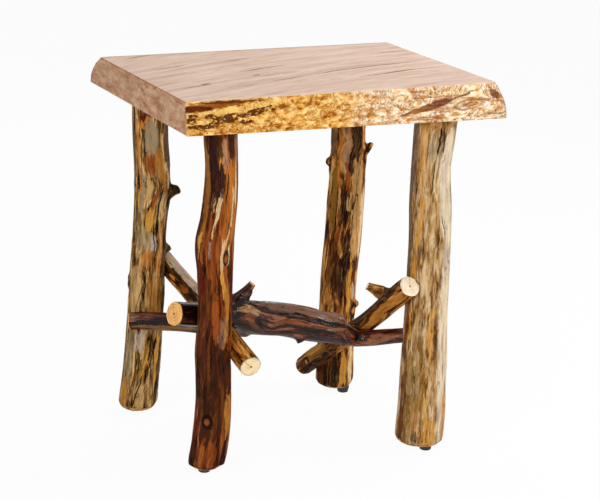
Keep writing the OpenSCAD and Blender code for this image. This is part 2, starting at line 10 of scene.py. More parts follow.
import bmesh
import bpy
import numpy as np
from mathutils import Matrix, Vector
from mathutils.bvhtree import BVHTree


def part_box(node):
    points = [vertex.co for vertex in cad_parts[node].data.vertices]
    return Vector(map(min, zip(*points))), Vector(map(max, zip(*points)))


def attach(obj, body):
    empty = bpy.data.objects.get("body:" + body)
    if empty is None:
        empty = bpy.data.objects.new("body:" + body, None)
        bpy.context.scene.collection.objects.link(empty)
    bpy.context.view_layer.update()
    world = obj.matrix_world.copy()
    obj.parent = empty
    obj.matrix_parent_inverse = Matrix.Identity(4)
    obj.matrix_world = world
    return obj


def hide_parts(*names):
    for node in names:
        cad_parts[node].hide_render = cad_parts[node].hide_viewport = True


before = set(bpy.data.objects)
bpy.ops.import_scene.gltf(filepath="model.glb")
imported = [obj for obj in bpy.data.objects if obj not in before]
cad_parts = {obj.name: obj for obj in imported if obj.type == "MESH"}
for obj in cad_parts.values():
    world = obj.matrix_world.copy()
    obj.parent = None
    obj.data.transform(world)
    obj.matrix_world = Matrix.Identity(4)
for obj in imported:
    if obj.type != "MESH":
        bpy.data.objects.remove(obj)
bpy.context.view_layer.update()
mm = 0.001
print("pieces in the frame:", len(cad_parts))

# %% [markdown]
# ## The camera
# The photograph looks down a little on the front left corner of the table, from about three metres away.
# A camera is fixed by its place, its heading and fall, and a small roll, because the photographer held it
# almost but not quite level. Its lens follows from how many pixels a radian takes in a frame 600 wide.

# %% Set up the camera
photo_width = 600
sensor_width = 36
pixels_per_radian = 1798.17
camera_place = Vector((-1.26642, -2.524, 1.16069))
camera_heading = math.radians(62.936)
camera_fall = math.radians(16.782)
camera_roll = math.radians(2.288)


def camera_turn(heading, fall, roll):
    """The rotation of a camera that looks along a heading, falls below the horizon and rolls."""
    ahead = Vector((math.cos(heading) * math.cos(fall), math.sin(heading) * math.cos(fall),
                    -math.sin(fall)))
    level_right = Vector((math.sin(heading), -math.cos(heading), 0))
    level_up = level_right.cross(ahead)
    right = level_right * math.cos(roll) + level_up * math.sin(roll)
    up = right.cross(ahead)
    return Matrix((right, up, -ahead)).transposed().to_4x4()


def placed(name, data):
    """A new object in the scene."""
    made = bpy.data.objects.new(name, data)
    bpy.context.scene.collection.objects.link(made)
    return made


camera_data = bpy.data.cameras.new("camera")
camera_data.sensor_width = sensor_width
camera_data.lens = sensor_width * pixels_per_radian / photo_width
camera = placed("camera", camera_data)
camera_pose = camera_turn(camera_heading, camera_fall, camera_roll)
camera.matrix_world = Matrix.Translation(camera_place) @ camera_pose
bpy.context.scene.camera = camera
print("lens:", round(camera_data.lens, 1), "mm")

# %% [markdown]
# ## Writing shader maths as plain sums
# A node tree is slow to read when every addition is three lines. The class below wraps a socket, so that
# `0.5 - mask * 2` adds the Math nodes itself. The bench adds any other node. Both work in a material and
# in a Geometry Nodes tree, so one rule can carve a surface and stain it in the same places.

# %% A socket that takes part in sums
class Wire:
    """A value in a node tree: sums on it add Math nodes."""

    def __init__(self, bench, socket):
        self.bench = bench
        self.socket = socket

    def __add__(self, other):
        return self.bench.math("ADD", self, other)

    def __sub__(self, other):
        return self.bench.math("SUBTRACT", self, other)

    def __rsub__(self, other):
        return self.bench.math("SUBTRACT", other, self)

    def __mul__(self, other):
        return self.bench.math("MULTIPLY", self, other)

    def __truediv__(self, other):
        return self.bench.math("DIVIDE", self, other)

    def __pow__(self, other):
        return self.bench.math("POWER", self, other)

    def __abs__(self):
        return self.bench.math("ABSOLUTE", self)

    __radd__ = __add__
    __rmul__ = __mul__


# %% The bench that nodes are made on
class Bench:
    """Adds nodes to one tree, a material's or a Geometry Nodes tree."""

    def __init__(self, tree):
        self.tree = tree
        self.shading = tree.bl_idname == "ShaderNodeTree"

    def node(self, kind, settings, values, out=0):
        """Adds any node: its settings first, then the values or wires of its sockets."""
        made = self.tree.nodes.new(kind)
        for name, value in settings.items():
            setattr(made, name, value)
        for key, value in values.items():
            if isinstance(value, Wire):
                self.tree.links.new(value.socket, made.inputs[key])
            else:
                made.inputs[key].default_value = value
        return Wire(self, made.outputs[out]) if made.outputs else None

    def math(self, how, *terms):
        return self.node("ShaderNodeMath", {"operation": how}, dict(enumerate(terms)))

    def least(self, a, b):
        return self.math("MINIMUM", a, b)

    def most(self, a, b):
        return self.math("MAXIMUM", a, b)

    def step(self, value, low, high):
        """A smooth step: 0 below low, 1 above high."""
        values = {0: value, 1: low, 2: high}
        return self.node("ShaderNodeMapRange", {"interpolation_type": "SMOOTHSTEP"}, values)

    def band(self, value, half, edge):
        """1 where value lies within half of zero, and 0 beyond the edge."""
        return 1 - self.step(abs(value), half, half + edge)

    def scaled(self, vector, scales):
        return self.node("ShaderNodeVectorMath", {"operation": "MULTIPLY"}, {0: vector, 1: scales})

    def moved(self, vector, steps):
        return self.node("ShaderNodeVectorMath", {"operation": "ADD"}, {0: vector, 1: steps})

    def parts(self, vector):
        first = self.node("ShaderNodeSeparateXYZ", {}, {0: vector})
        return [Wire(self, socket) for socket in first.socket.node.outputs]

    def joined(self, x, y, z):
        return self.node("ShaderNodeCombineXYZ", {}, {0: x, 1: y, 2: z})

    def noise(self, at, seed, detail=2.0, roughness=0.5, distortion=0.0, out=0):
        """Cloudy noise, most of it between 0.3 and 0.7. As a colour, out=1, it is three such clouds.

        The seed keeps one cloud from following another."""
        values = {"Vector": at, "W": float(seed), "Scale": 1.0, "Detail": detail,
                  "Roughness": roughness, "Distortion": distortion}
        return self.node("ShaderNodeTexNoise", {"noise_dimensions": "4D"}, values, out)

    def cells(self, at):
        """Soft-edged cells, 0 at the middle of each."""
        return self.node("ShaderNodeTexVoronoi", {"feature": "SMOOTH_F1"}, {"Vector": at, "Scale": 1.0})

    def blend(self, share, a, b):
        """Colour a, going over to colour b as share goes from 0 to 1."""
        return self.node("ShaderNodeMix", {"data_type": "RGBA"}, {0: share, 6: a, 7: b}, out=2)

    def ramp(self, value, stops):
        """A colour for every value, from stops that each have a place and a colour for paint."""
        made = self.node("ShaderNodeValToRGB", {}, {0: value})
        points = made.socket.node.color_ramp.elements
        while len(points) < len(stops):
            points.new(0.5)
        for point, (place, colour) in zip(points, stops):
            point.position = place
            point.color = paint(*colour)
        return made

    def attribute(self, name, vector=False):
        if self.shading:
            return self.node("ShaderNodeAttribute", {"attribute_name": name}, {}, out=1 if vector else 2)
        kind = "FLOAT_VECTOR" if vector else "FLOAT"
        return self.node("GeometryNodeInputNamedAttribute", {"data_type": kind}, {"Name": name})


# %% An empty tree, and a colour
def cleared_bench(owner):
    """The bench of a new material or world, cleared of the nodes that it came with."""
    owner.use_nodes = True
    owner.node_tree.nodes.clear()
    return Bench(owner.node_tree)


def paint(red, green, blue):
    """A colour as the eye reads it, 0 to 255, in the linear values that a shader takes."""
    shares = [v / 255 for v in (red, green, blue)]
    return tuple([s / 12.92 if s <= 0.04045 else ((s + 0.055) / 1.055) ** 2.4 for s in shares] + [1.0])


# %% [markdown]
# ## A place on a log
# Grain, bark and knots follow the log, not the room. So each log carries a `grain` attribute: for every
# point, two steps across the log from its heart and the distance along it. A straight pattern in those
# terms bends with the log. Around the log, a heading says which side: 0 is +X and 90 is +Y on a leg.

# %% Read a place on a log, in its own terms
# How far a torn outline strays, in degrees round the log and along it
torn_turn = 34
torn_length = 80 * mm
# How far a crack strays to either side, in degrees
crack_stray = 12


def ends_of(heading):
    """The headings of a mark's lower and upper end, which are the same unless two are given."""
    return heading if isinstance(heading, tuple) else (heading, heading)


class Surface:
    """A point of a surface, as wires. Each kind of surface says how it is stretched for a noise."""

    def cloud(self, wide, long, seed, *look, out=0):
        """Noise whose blots are about as wide and as long as two lengths in mm."""
        return self.bench.noise(self.stretched(wide, long), seed, *look, out=out)


class Place(Surface):
    """A point of a log: two steps across, the way along, its heading and its distance from the heart.

    Headings count from a seam that lies on the side of the log that the camera doesn't see. The methods
    take lengths in mm and headings in degrees."""

    def __init__(self, bench, seam):
        self.bench = bench
        self.grain = bench.attribute("grain", vector=True)
        self.across, self.up, self.along = bench.parts(self.grain)
        self.radius = (self.across * self.across + self.up * self.up) ** 0.5
        turn = bench.math("ARCTAN2", self.up, self.across) * math.degrees(1)
        self.heading = bench.math("FLOORED_MODULO", turn - seam, 360.0) + seam
        torn = self.cloud(5, 24, 90, 5.0, 0.62, out=1)
        round_shift, long_shift, _ = bench.parts(torn)
        self.torn_heading = self.heading + (round_shift - 0.5) * torn_turn
        self.torn_along = self.along + (long_shift - 0.5) * torn_length

    def stretched(self, wide, long):
        """The place counted in steps of wide across the grain and long along it."""
        return self.bench.scaled(self.grain, (1 / (wide * mm), 1 / (wide * mm), 1 / (long * mm)))

    def spot(self, heading, along, wide, tall):
        """Distance from a spot on the bark, where 1 is its rim."""
        round_gap = (self.heading - heading) * math.radians(1) * self.radius / (wide * mm)
        along_gap = (self.along - along * mm) / (tall * mm)
        return (round_gap * round_gap + along_gap * along_gap) ** 0.5

    def patch(self, low, high, heading, half_angle):
        """A mask for a long patch that may lean round the log as it climbs, with a torn outline."""
        low, high = low * mm, high * mm
        low_heading, high_heading = ends_of(heading)
        lean = (high_heading - low_heading) / (high - low)
        side = (self.torn_heading - (self.torn_along - low) * lean - low_heading) / half_angle
        middle = (self.torn_along - (low + high) / 2) / ((high - low) / 2)
        middle = middle * middle
        return 1 - self.bench.step(side * side + middle * middle, 0.7, 1.2)

    def crack(self, low, high, heading, half_width):
        """A mask for a long crack that may lean round the log as it climbs."""
        bench = self.bench
        low, high, half_width = low * mm, high * mm, half_width * mm
        low_heading, high_heading = ends_of(heading)
        share = (self.along - low) / (high - low)
        wander = self.cloud(400, 16, low_heading, 3.0) - 0.5
        middle = share * (high_heading - low_heading) + wander * crack_stray + low_heading
        side = abs(self.heading - middle) * math.radians(1) * self.radius
        ends = bench.step(bench.least(share, 1 - share), 0.0, 0.2)
        return 1 - bench.step(side, ends * (half_width * 0.5), ends * half_width + 0.1 * mm)


# %% [markdown]
# ## From a packed log to an even skin
# A packed log is right in size but has few, long faces, too coarse to carve. A voxel remesh gives it an
# even skin of small squares and keeps its notches. That skin is then smoothed, but not across the rims of
# the sawn ends, so they stay crisp, and only lightly on thin twigs, so they don't shrink.

# %% Copy a packed log as an even skin
def even_skin(node, voxel):
    """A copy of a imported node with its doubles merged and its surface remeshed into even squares."""
    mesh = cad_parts[node].data.copy()
    shape = bmesh.new()
    shape.from_mesh(mesh)
    bmesh.ops.remove_doubles(shape, verts=shape.verts, dist=0.01 * mm)
    shape.to_mesh(mesh)
    shape.free()
    holder = placed(node + "_even", mesh)
    remesh = holder.modifiers.new("even skin", "REMESH")
    remesh.mode = "VOXEL"
    remesh.voxel_size = voxel
    graph = bpy.context.evaluated_depsgraph_get()
    skin = bpy.data.meshes.new_from_object(holder.evaluated_get(graph))
    bpy.data.objects.remove(holder)
    return skin


# %% Read values from a mesh, and store some on it
def values_of(items, name, width, kind=float):
    """A value of every point or edge of a mesh, as an array with a row for each."""
    flat = np.zeros(len(items) * width, kind)
    items.foreach_get(name, flat)
    return flat.reshape(-1, width)


def store(mesh, name, values):
    """Keeps an array as an attribute of a mesh's points: rows of three as vectors, numbers as numbers."""
    kind, field = ("FLOAT_VECTOR", "vector") if values.ndim == 2 else ("FLOAT", "value")
    made = mesh.attributes.new(name, kind, "POINT")
    made.data.foreach_set(field, values.astype(np.float32).ravel())


# %% Smooth a skin
def smoothed(points, edges, share, rounds):
    """Points moved towards their neighbours' mean, each by its own share, a few rounds over."""
    a, b = edges[:, 0], edges[:, 1]
    count = len(points)
    near = np.bincount(a, minlength=count) + np.bincount(b, minlength=count)
    share = np.where(near > 0, share, 0.0)
    near = np.maximum(near, 1)
    for _ in range(rounds):
        mean = np.empty_like(points)
        for axis in range(3):
            column = points[:, axis]
            total = np.bincount(a, column[b], count) + np.bincount(b, column[a], count)
            mean[:, axis] = total / near
        points = points + (mean - points) * share[:, None] * 0.5
    return points


# %% [markdown]
# ## Finding the heart of a log
# The grain needs the line of the log's heart. Starting at the middle of a sawn end, the tracer looks a
# short step ahead, takes the middle of the bark that it finds there, and steps on to it. It works for a
# leg, a bent branch and each prong of the fork alike, and it measures the log's girth on the way.

# %% Trace the heart of a log
trace_step = 5 * mm
# Points this near to a log's furthest point belong to its sawn end
tip_depth = 4 * mm
# Bark is looked for between these shares of the radius found so far
bark_near, bark_far = 0.5, 1.5
# A step that finds fewer points than this has run out of log
fewest_points = 12
# How much of what a step finds goes into the heart, the way and the radius
heart_share, way_share, radius_share = 0.35, 0.25, 0.2
# Marks on each further path of a log count from this much further along, in metres
path_gap = 3.0


def unit(way):
    return way / np.linalg.norm(way)


def trace(points, tip_way, length, pick_way=None):
    """Hearts, ways and radii along a log, from the tip that lies furthest along pick_way or tip_way."""
    way = -unit(np.array(tip_way, float))
    reach = points @ np.array(pick_way or tip_way, float)
    end = points[reach > reach.max() - tip_depth]
    heart = end.mean(0)
    radius = np.percentile(np.linalg.norm(end - heart, axis=1), 95)
    hearts, ways, radii = [heart], [way], [radius]
    while len(hearts) * trace_step < length:
        ahead = hearts[-1] + way * trace_step
        gap = points - ahead
        along = gap @ way
        off = np.linalg.norm(gap - along[:, None] * way, axis=1)
        ring = (abs(along) < trace_step * 0.8) & (off < radius * bark_far) & (off > radius * bark_near)
        if ring.sum() < fewest_points:
            break
        middle = (points[ring].min(0) + points[ring].max(0)) / 2 * 0.5 + points[ring].mean(0) * 0.5
        middle = middle - way * ((middle - ahead) @ way)
        radius = radius * (1 - radius_share) + radius_share * np.median(off[ring])
        heart = ahead + (middle - ahead) * heart_share
        way = unit(way * (1 - way_share) + unit(heart - hearts[-1]) * way_share)
        hearts.append(heart)
        ways.append(way)
        radii.append(radius)
    return np.array(hearts), np.array(ways), np.array(radii)


# %% Give every point its grain
def grain_of(points, paths, first):
    """Each point's grain, its distance from the heart as a share of the radius, its tip gap and way.

    On a leg the steps across are +X and +Y. On a lying log they are to the left and up, walking along."""
    best = np.full(len(points), np.inf)
    grain = np.zeros((len(points), 3))
    share = np.zeros(len(points))
    tip_gap = np.zeros(len(points))
    nearest_way = np.zeros((len(points), 3))
    for number, (hearts, ways, radii) in enumerate(paths):
        upward = np.array((0.0, 1.0, 0.0) if abs(ways[0][2]) > 0.9 else (0.0, 0.0, 1.0))
        gaps = points[:, None, :] - hearts[None, :, :]
        off = np.linalg.norm(gaps, axis=2) / radii[None, :]
        pick = off.argmin(1)
        near = off[np.arange(len(points)), pick]
        gap = points - hearts[pick]
        way = ways[pick]
        ahead = (gap * way).sum(1)
        over = upward - way * (way @ upward)[:, None]
        over = over / np.linalg.norm(over, axis=1)[:, None]
        side = np.cross(over, way)
        cross = gap - ahead[:, None] * way
        here = near < best
        along = first + pick * trace_step + ahead + path_gap * number
        values = np.stack([(cross * side).sum(1), (cross * over).sum(1), along], 1)
        grain[here] = values[here]
        share[here] = (np.linalg.norm(cross, axis=1) / radii[pick])[here]
        tip_gap[here] = np.minimum(pick, len(hearts) - 1 - pick)[here] * trace_step
        nearest_way[here] = way[here]
        best[here] = near[here]
    return grain, share, tip_gap, nearest_way


# %% [markdown]
# ## Skins that know their grain
# Every log goes through the same steps: even skin, tracing, smoothing, and the attributes `grain` and
# `cut` stored on its points. `cut` is 1 on a sawn end, where rings are drawn instead of bark.

# %% Make a log's skin
# A point this much further from the heart than the bark belongs to a twig, and is smoothed this lightly
twig_share = 1.2
twig_weight = 0.05
# Smoothing evens out forms up to about this size
smooth_reach = 4 * mm
# A sawn end faces along the log, by at least this cosine, and lies this near to a tip
cut_cosine = 0.7
cut_depth = 9 * mm


def log_skin(node, voxel, tips, first=0.0):
    """An even, smooth skin of a packed log, with its grain and its sawn ends stored on it."""
    mesh = even_skin(node, voxel)
    points, normals = values_of(mesh.vertices, "co", 3), values_of(mesh.vertices, "normal", 3)
    edges = values_of(mesh.edges, "vertices", 2, np.int32)
    paths = [trace(points, *tip) for tip in tips]
    grain, share, tip_gap, way = grain_of(points, paths, first)
    cut = (abs((normals * way).sum(1)) > cut_cosine) & (tip_gap < cut_depth)
    same_side = cut[edges[:, 0]] == cut[edges[:, 1]]
    weight = np.where(share > twig_share, twig_weight, 1.0)
    rounds = int((2 * smooth_reach / voxel) ** 2)
    rounded = smoothed(points, edges[same_side], np.where(cut, 0.0, weight), rounds)
    rounded = smoothed(rounded, edges, np.full(len(points), 0.5), 2)
    mesh.vertices.foreach_set("co", rounded.ravel())
    grain = grain_of(rounded, paths, first)[0]
    store(mesh, "grain", grain)
    store(mesh, "cut", cut)
    girths = ", ".join(f"{path[2].mean() / mm:.0f}" for path in paths)
    print(node, "points", len(points), "radii along its paths", girths, "mm")
    return mesh


# %% [markdown]
# ## Carving and staining by one rule
# A peeled log has long shallow flutes, flat facets from the drawknife, knots where branches stood, and
# cracks from drying. Geometry Nodes carve them, because they follow a rule over the whole surface, and
# the same functions then tell the material where to darken. Modelling each by hand would break that link.

# %% Rules that carve
def flutes(place, log):
    """Long rolling flutes along the grain, from about -1 to 1."""
    rolls = place.cloud(log["flute_width"], log["flute_length"], log["seed"], 1.0)
    return (rolls - 0.5) * 4


def knot_rise(bench, gap, rise):
    """A swelling round a knot that dips again at its middle."""
    swelling = 1 - bench.step(gap, 0.3, 2.2)
    dip = 1 - bench.step(gap, 0.0, 0.9)
    return swelling * rise - dip * (0.6 * rise)


def fine_checks(place, log):
    """Thin winding checks along the grain, where a drawn-out cloud crosses its middle value."""
    bench = place.bench
    cloud = place.cloud(8, 110, log["seed"] + 8, 3.0, 0.6)
    dry = bench.step(place.cloud(20, 60, log["seed"] + 9), 0.45, 0.55)
    return (1 - bench.step(abs(cloud - 0.5), 0.003, 0.014)) * dry


def bark_left(place, log):
    """Ragged islands of thin inner bark that the drawknife missed."""
    bench = place.bench
    cloud = place.cloud(9, 34, log["seed"] + 3, 5.0, 0.66, 0.5)
    share = log["bark_share"]
    return bench.step(cloud, 0.64 - share, 0.67 - share)


# %% A log's relief
def relief(place, log):
    """How far a log's surface stands out, in metres."""
    bench = place.bench
    out = flutes(place, log) * log["flute_depth"]
    facets = bench.cells(place.stretched(14, 70))
    out = out + (0.45 - facets) * log["facet_depth"]
    fibres = place.cloud(2.6, 30, log["seed"] + 5, 3.0)
    out = out + (fibres - 0.5) * log["fibre_depth"] + bark_left(place, log) * (0.35 * mm)
    out = out - fine_checks(place, log) * (0.5 * mm)
    for row in log["bark"]:
        out = out + place.patch(*row[:4]) * (0.5 * mm)
    for *spot, rise in log["swells"] + log["knots"]:
        out = out + knot_rise(bench, place.spot(*spot), rise * mm)
    for *crack, depth in log["cracks"]:
        out = out - place.crack(*crack) * (depth * mm)
    return out


# %% Carve a skin with Geometry Nodes
def carving_bench(name):
    """The bench of a new Geometry Nodes tree: a skin and a strength go in, a carved skin comes out."""
    tree = bpy.data.node_groups.new(name, "GeometryNodeTree")
    tree.is_modifier = True
    tree.interface.new_socket("Skin", in_out="INPUT", socket_type="NodeSocketGeometry")
    tree.interface.new_socket("Strength", in_out="INPUT", socket_type="NodeSocketFloat")
    tree.interface.new_socket("Carved", in_out="OUTPUT", socket_type="NodeSocketGeometry")
    return Bench(tree)


def carved(bench, out, normal, mesh, name, material):
    """Ends a tree that moves a skin outwards, runs it on a mesh and returns a plain object."""
    out = out * bench.node("NodeGroupInput", {}, {}, "Strength")
    offset = bench.node("ShaderNodeVectorMath", {"operation": "SCALE"}, {0: normal, "Scale": out})
    skin = bench.node("NodeGroupInput", {}, {}, "Skin")
    moved = bench.node("GeometryNodeSetPosition", {}, {"Geometry": skin, "Offset": offset})
    real = bench.node("GeometryNodeRealizeInstances", {}, {"Geometry": moved})
    soft = bench.node("GeometryNodeSetShadeSmooth", {}, {"Geometry": real})
    done = bench.node("GeometryNodeSetMaterial", {}, {"Geometry": soft, "Material": material})
    bench.node("NodeGroupOutput", {}, {"Carved": done})
    piece = placed(name, mesh)
    modifier = piece.modifiers.new("nodes", "NODES")
    modifier.node_group = bench.tree
    sockets = {item.name: item.identifier for item in bench.tree.interface.items_tree}
    modifier[sockets["Strength"]] = 1.0
    graph = bpy.context.evaluated_depsgraph_get()
    final = piece.evaluated_get(graph)
    result = bpy.data.meshes.new_from_object(final, preserve_all_data_layers=True, depsgraph=graph)
    piece.modifiers.clear()
    piece.data = result
    print(name, "triangles", sum(len(face.vertices) - 2 for face in result.polygons))
    return piece


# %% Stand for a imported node
def dress(piece, node):
    """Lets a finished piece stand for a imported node."""
    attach(piece, "root")
    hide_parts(node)


# %% [markdown]
# ## Varnished wood
# One material is built for each log from the same parts: streaks of four shades along the grain, patches
# of inner bark with ragged edges, dark fibres, stained knots and cracks, and rings on the sawn ends. Over
# all lies a clear varnish, which is the shader's coat. Only colour, roughness and bump vary.

# %% The tones of the wood
tones = {name: paint(*colour) for name, colour in {
    "ink": (15, 6, 3), "plum": (36, 18, 18), "charcoal": (42, 33, 28), "umber": (58, 28, 10),
    "oxblood": (84, 22, 6), "chestnut": (100, 44, 14), "russet": (148, 74, 26), "orange": (204, 122, 44),
    "honey": (180, 118, 44), "gold": (212, 150, 62), "olive": (138, 100, 36), "tan": (200, 158, 100),
    "pale": (234, 202, 152), "cream": (240, 226, 200), "grey": (152, 136, 106), "ash": (104, 84, 62),
    "lilac": (194, 174, 156), "pink": (178, 132, 102)}.items()}
print("tones of wood:", len(tones))


# %% Streaks and flecks
def streaks(place, log):
    """Tones of wood: blotches drawn out along the grain, with finer streaks in them."""
    bench = place.bench
    broad = place.cloud(log["streak_width"], log["streak_length"], log["seed"] + 1, 4.0, 0.58, 0.7)
    fine = place.cloud(1.8, 15, log["seed"] + 2, 3.0, 0.65)
    return bench.ramp(broad * 0.95 + fine * 0.25 - 0.1, log["shades"])


def flecks(place, log):
    """Small dark dashes along the grain, closer together in some places."""
    bench = place.bench
    dashes = place.cloud(1.3, 5, log["seed"] + 11, 2.0)
    crowd = place.cloud(14, 50, log["seed"] + 12, 2.0)
    return bench.step(dashes + (crowd - 0.5) * 0.5 + log["fleck_share"], 0.7, 0.76)


# %% Year rings on a sawn end
ring_gap = 4.2 * mm


def end_rings(place, log):
    """Year rings on a sawn end, with a pith, a ring of bark and fine saw marks."""
    bench = place.bench
    flat = bench.scaled(place.grain, (1.0, 1.0, 0.0))
    wobble = bench.noise(bench.scaled(flat, (90.0, 90.0, 1.0)), log["seed"], 3.0) * (7 * mm)
    rings = bench.math("SINE", (place.radius + wobble) * (2 * math.pi / ring_gap)) * 0.5 + 0.5
    speckle = bench.noise(bench.scaled(flat, (600.0, 600.0, 1.0)), log["seed"] + 9, 2.0)
    blotch = bench.noise(bench.scaled(flat, (90.0, 90.0, 1.0)), log["seed"] + 10, 3.0, 0.6)
    light, dark, pith = log["end_tones"]
    colour = bench.blend(rings * 0.5 + (speckle - 0.5) * 0.5 + (blotch - 0.5) * 2.2, light, dark)
    heart = 1 - bench.step(place.radius + (speckle - 0.5) * (2 * mm), 1.2 * mm, 3 * mm)
    colour = bench.blend(heart * 0.85, colour, pith)
    rim = bench.step(place.radius + (blotch - 0.5) * (6 * mm), log["rim"] * mm, (log["rim"] + 1.6) * mm)
    colour = bench.blend(rim * 0.75, colour, log["rim_tone"])
    check = place.crack(-50, 80, (log["end_check"], log["end_check"] + 4), 0.5)
    return bench.blend(check * bench.step(place.radius, 2 * mm, 4 * mm) * 0.8, colour, pith)


# %% A log's wood
# How strongly a mark or a patch of bark colours the wood, unless its row says otherwise
usual_strength = 0.95
# How dark the outline of a patch of bark is drawn
bark_outline = 3.6


def log_wood(log):
    """The material of one log."""
    material = bpy.data.materials.new(log["node"] + "_wood")
    bench = cleared_bench(material)
    place = Place(bench, log["seam"])
    colour = streaks(place, log)
    colour = bench.blend(flecks(place, log) * log["fleck_strength"], colour, log["fleck_tone"])
    islands = bark_left(place, log)
    mottle = place.cloud(3, 9, log["seed"] + 13, 4.0, 0.66)
    depth = bench.step(mottle, 0.4, 0.62)
    colour = bench.blend(islands * log["bark_strength"], colour, log["bark_tone"])
    for row in log["marks"] + log["bark"]:
        tone, strength = tones[row[4]], row[5] if len(row) > 5 else usual_strength
        mask = place.patch(*row[:4])
        outline = mask * (1 - mask) * (bark_outline if row in log["bark"] else log["outline"])
        colour = bench.blend(outline, colour, log["fleck_tone"])
        colour = bench.blend(mask * strength * (depth * 0.15 + 0.85), colour, tone)
    fibres = place.cloud(3.2, 24, log["seed"] + 14, 4.0, 0.64)
    colour = bench.blend(bench.step(fibres, 0.5, 0.66) * log["fibre_strength"], colour, log["fleck_tone"])
    colour = bench.blend(bench.step(fibres, 0.48, 0.34) * 0.22, colour, log["shine_tone"])
    checks = fine_checks(place, log)
    colour = bench.blend(checks * 0.8, colour, tones["ink"])
    ragged = (mottle - 0.5) * 1.2
    for *spot, _ in log["knots"]:
        gap = place.spot(*spot) + ragged
        rim = bench.band(gap - 1.0, 0.2, 0.5)
        middle = 1 - bench.step(gap, 0.35, 0.8)
        colour = bench.blend(rim * 0.9, colour, tones["ink"])
        colour = bench.blend(middle * 0.9, colour, log["knot_tone"])
    for *crack, _ in log["cracks"]:
        colour = bench.blend(place.crack(*crack) * 0.95, colour, tones["ink"])
    cut = bench.step(bench.attribute("cut"), 0.35, 0.65)
    colour = bench.blend(cut, colour, end_rings(place, log))
    roughness = mottle * 0.25 + islands * 0.1 + log["roughness"]
    pores = place.cloud(1.0, 16, log["seed"] + 6, 4.0, 0.65)
    height = pores * 0.35 + mottle * 0.65 - checks * 0.5
    varnished(bench, colour, roughness, height, 1.1 * mm, log["gloss"])
    return material


# %% The coat of varnish
def varnished(bench, colour, roughness, height, depth, gloss):
    """Ends a wood's node tree: the wood below, and over it a clear varnish, as full as gloss says."""
    bump = bench.node("ShaderNodeBump", {}, {"Strength": 0.5, "Distance": depth, "Height": height})
    values = {"Base Color": colour, "Roughness": roughness, "Normal": bump,
              "Coat Weight": gloss, "Coat Roughness": 0.12, "Specular IOR Level": 0.0}
    shader = bench.node("ShaderNodeBsdfPrincipled", {}, values)
    bench.node("ShaderNodeOutputMaterial", {}, {"Surface": shader})


# %% [markdown]
# ## The logs, one by one
# Each log is described by its own facts, in millimetres along it and degrees round it. A knot or a
# swelling is a heading, a height, a half-width, a half-height and how far it rises. A crack is two
# heights, its heading, its half-width and depth. A mark or a patch of bark is two heights, its heading, a
# half-angle, a tone and, if it isn't the usual one, a strength. Where a mark leans, it has two headings,
# for its lower and its upper end. Some marks are painted highlights, painted sheen and painted shade,
# and a comment by each says which.

# %% Facts that most logs share
# Where a log's four shades, from dark to light, sit in the cloud that picks them, so that all four show
shade_places = (0.40, 0.465, 0.53, 0.61)


def log_facts(node, slot, seed, shades, **others):
    """A log's facts: the usual ones with its own over them, depths in metres and tones as colours."""
    facts = {"node": node, "slot": slot, "seed": seed, "seam": 0.0, "voxel": 1.6, "facet_depth": 1.6,
             "flute_width": 17, "flute_length": 150, "flute_depth": 1.2, "fibre_depth": 0.9,
             "fibre_strength": 0.4, "streak_width": 8, "streak_length": 52, "shine_tone": "gold",
             "bark_share": 0.05, "bark_strength": 0.8, "bark_tone": "umber", "knot_tone": "orange",
             "fleck_tone": "umber", "fleck_strength": 0.7, "fleck_share": 0.0, "outline": 1.4,
             "roughness": 0.24, "gloss": 0.07, "rim": 60, "rim_tone": "umber", "end_check": 215,
             "end_tones": ((222, 170, 100), (186, 122, 58), (120, 62, 22)),
             "swells": [], "knots": [], "cracks": [], "marks": [], "bark": []}
    facts.update(others)
    for name in ("voxel", "facet_depth", "flute_depth", "fibre_depth"):
        facts[name] = facts[name] * mm
    for name in ("bark_tone", "fleck_tone", "shine_tone", "knot_tone", "rim_tone"):
        facts[name] = tones[facts[name]]
    facts["end_tones"] = [paint(*colour) for colour in facts["end_tones"]]
    facts["shades"] = list(zip(shade_places, shades))
    return facts


# %% Make a log from its facts
def make_log(facts, tips):
    """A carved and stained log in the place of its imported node."""
    node = facts["node"]
    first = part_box(node)[0].z if node.startswith("leg") else 0.0
    mesh = log_skin(node, facts["voxel"], tips, first)
    bench = carving_bench("carve " + node)
    bark = 1 - bench.attribute("cut")
    out = relief(Place(bench, facts["seam"]), facts) * (bark * 0.9 + 0.1)
    normal = bench.node("GeometryNodeInputNormal", {}, {})
    dress(carved(bench, out, normal, mesh, node + "_wood", log_wood(facts)), node)


leg_length = 0.62
upright = [((0, 0, -1), leg_length)]

# %% [markdown]
# ### The front left leg
# The darkest and smoothest leg is chestnut brown with deep flutes. Near the top it keeps purple-black
# bark with a tan island, a knee swells on its left at two thirds of its height, and a branch knot sits
# low down.

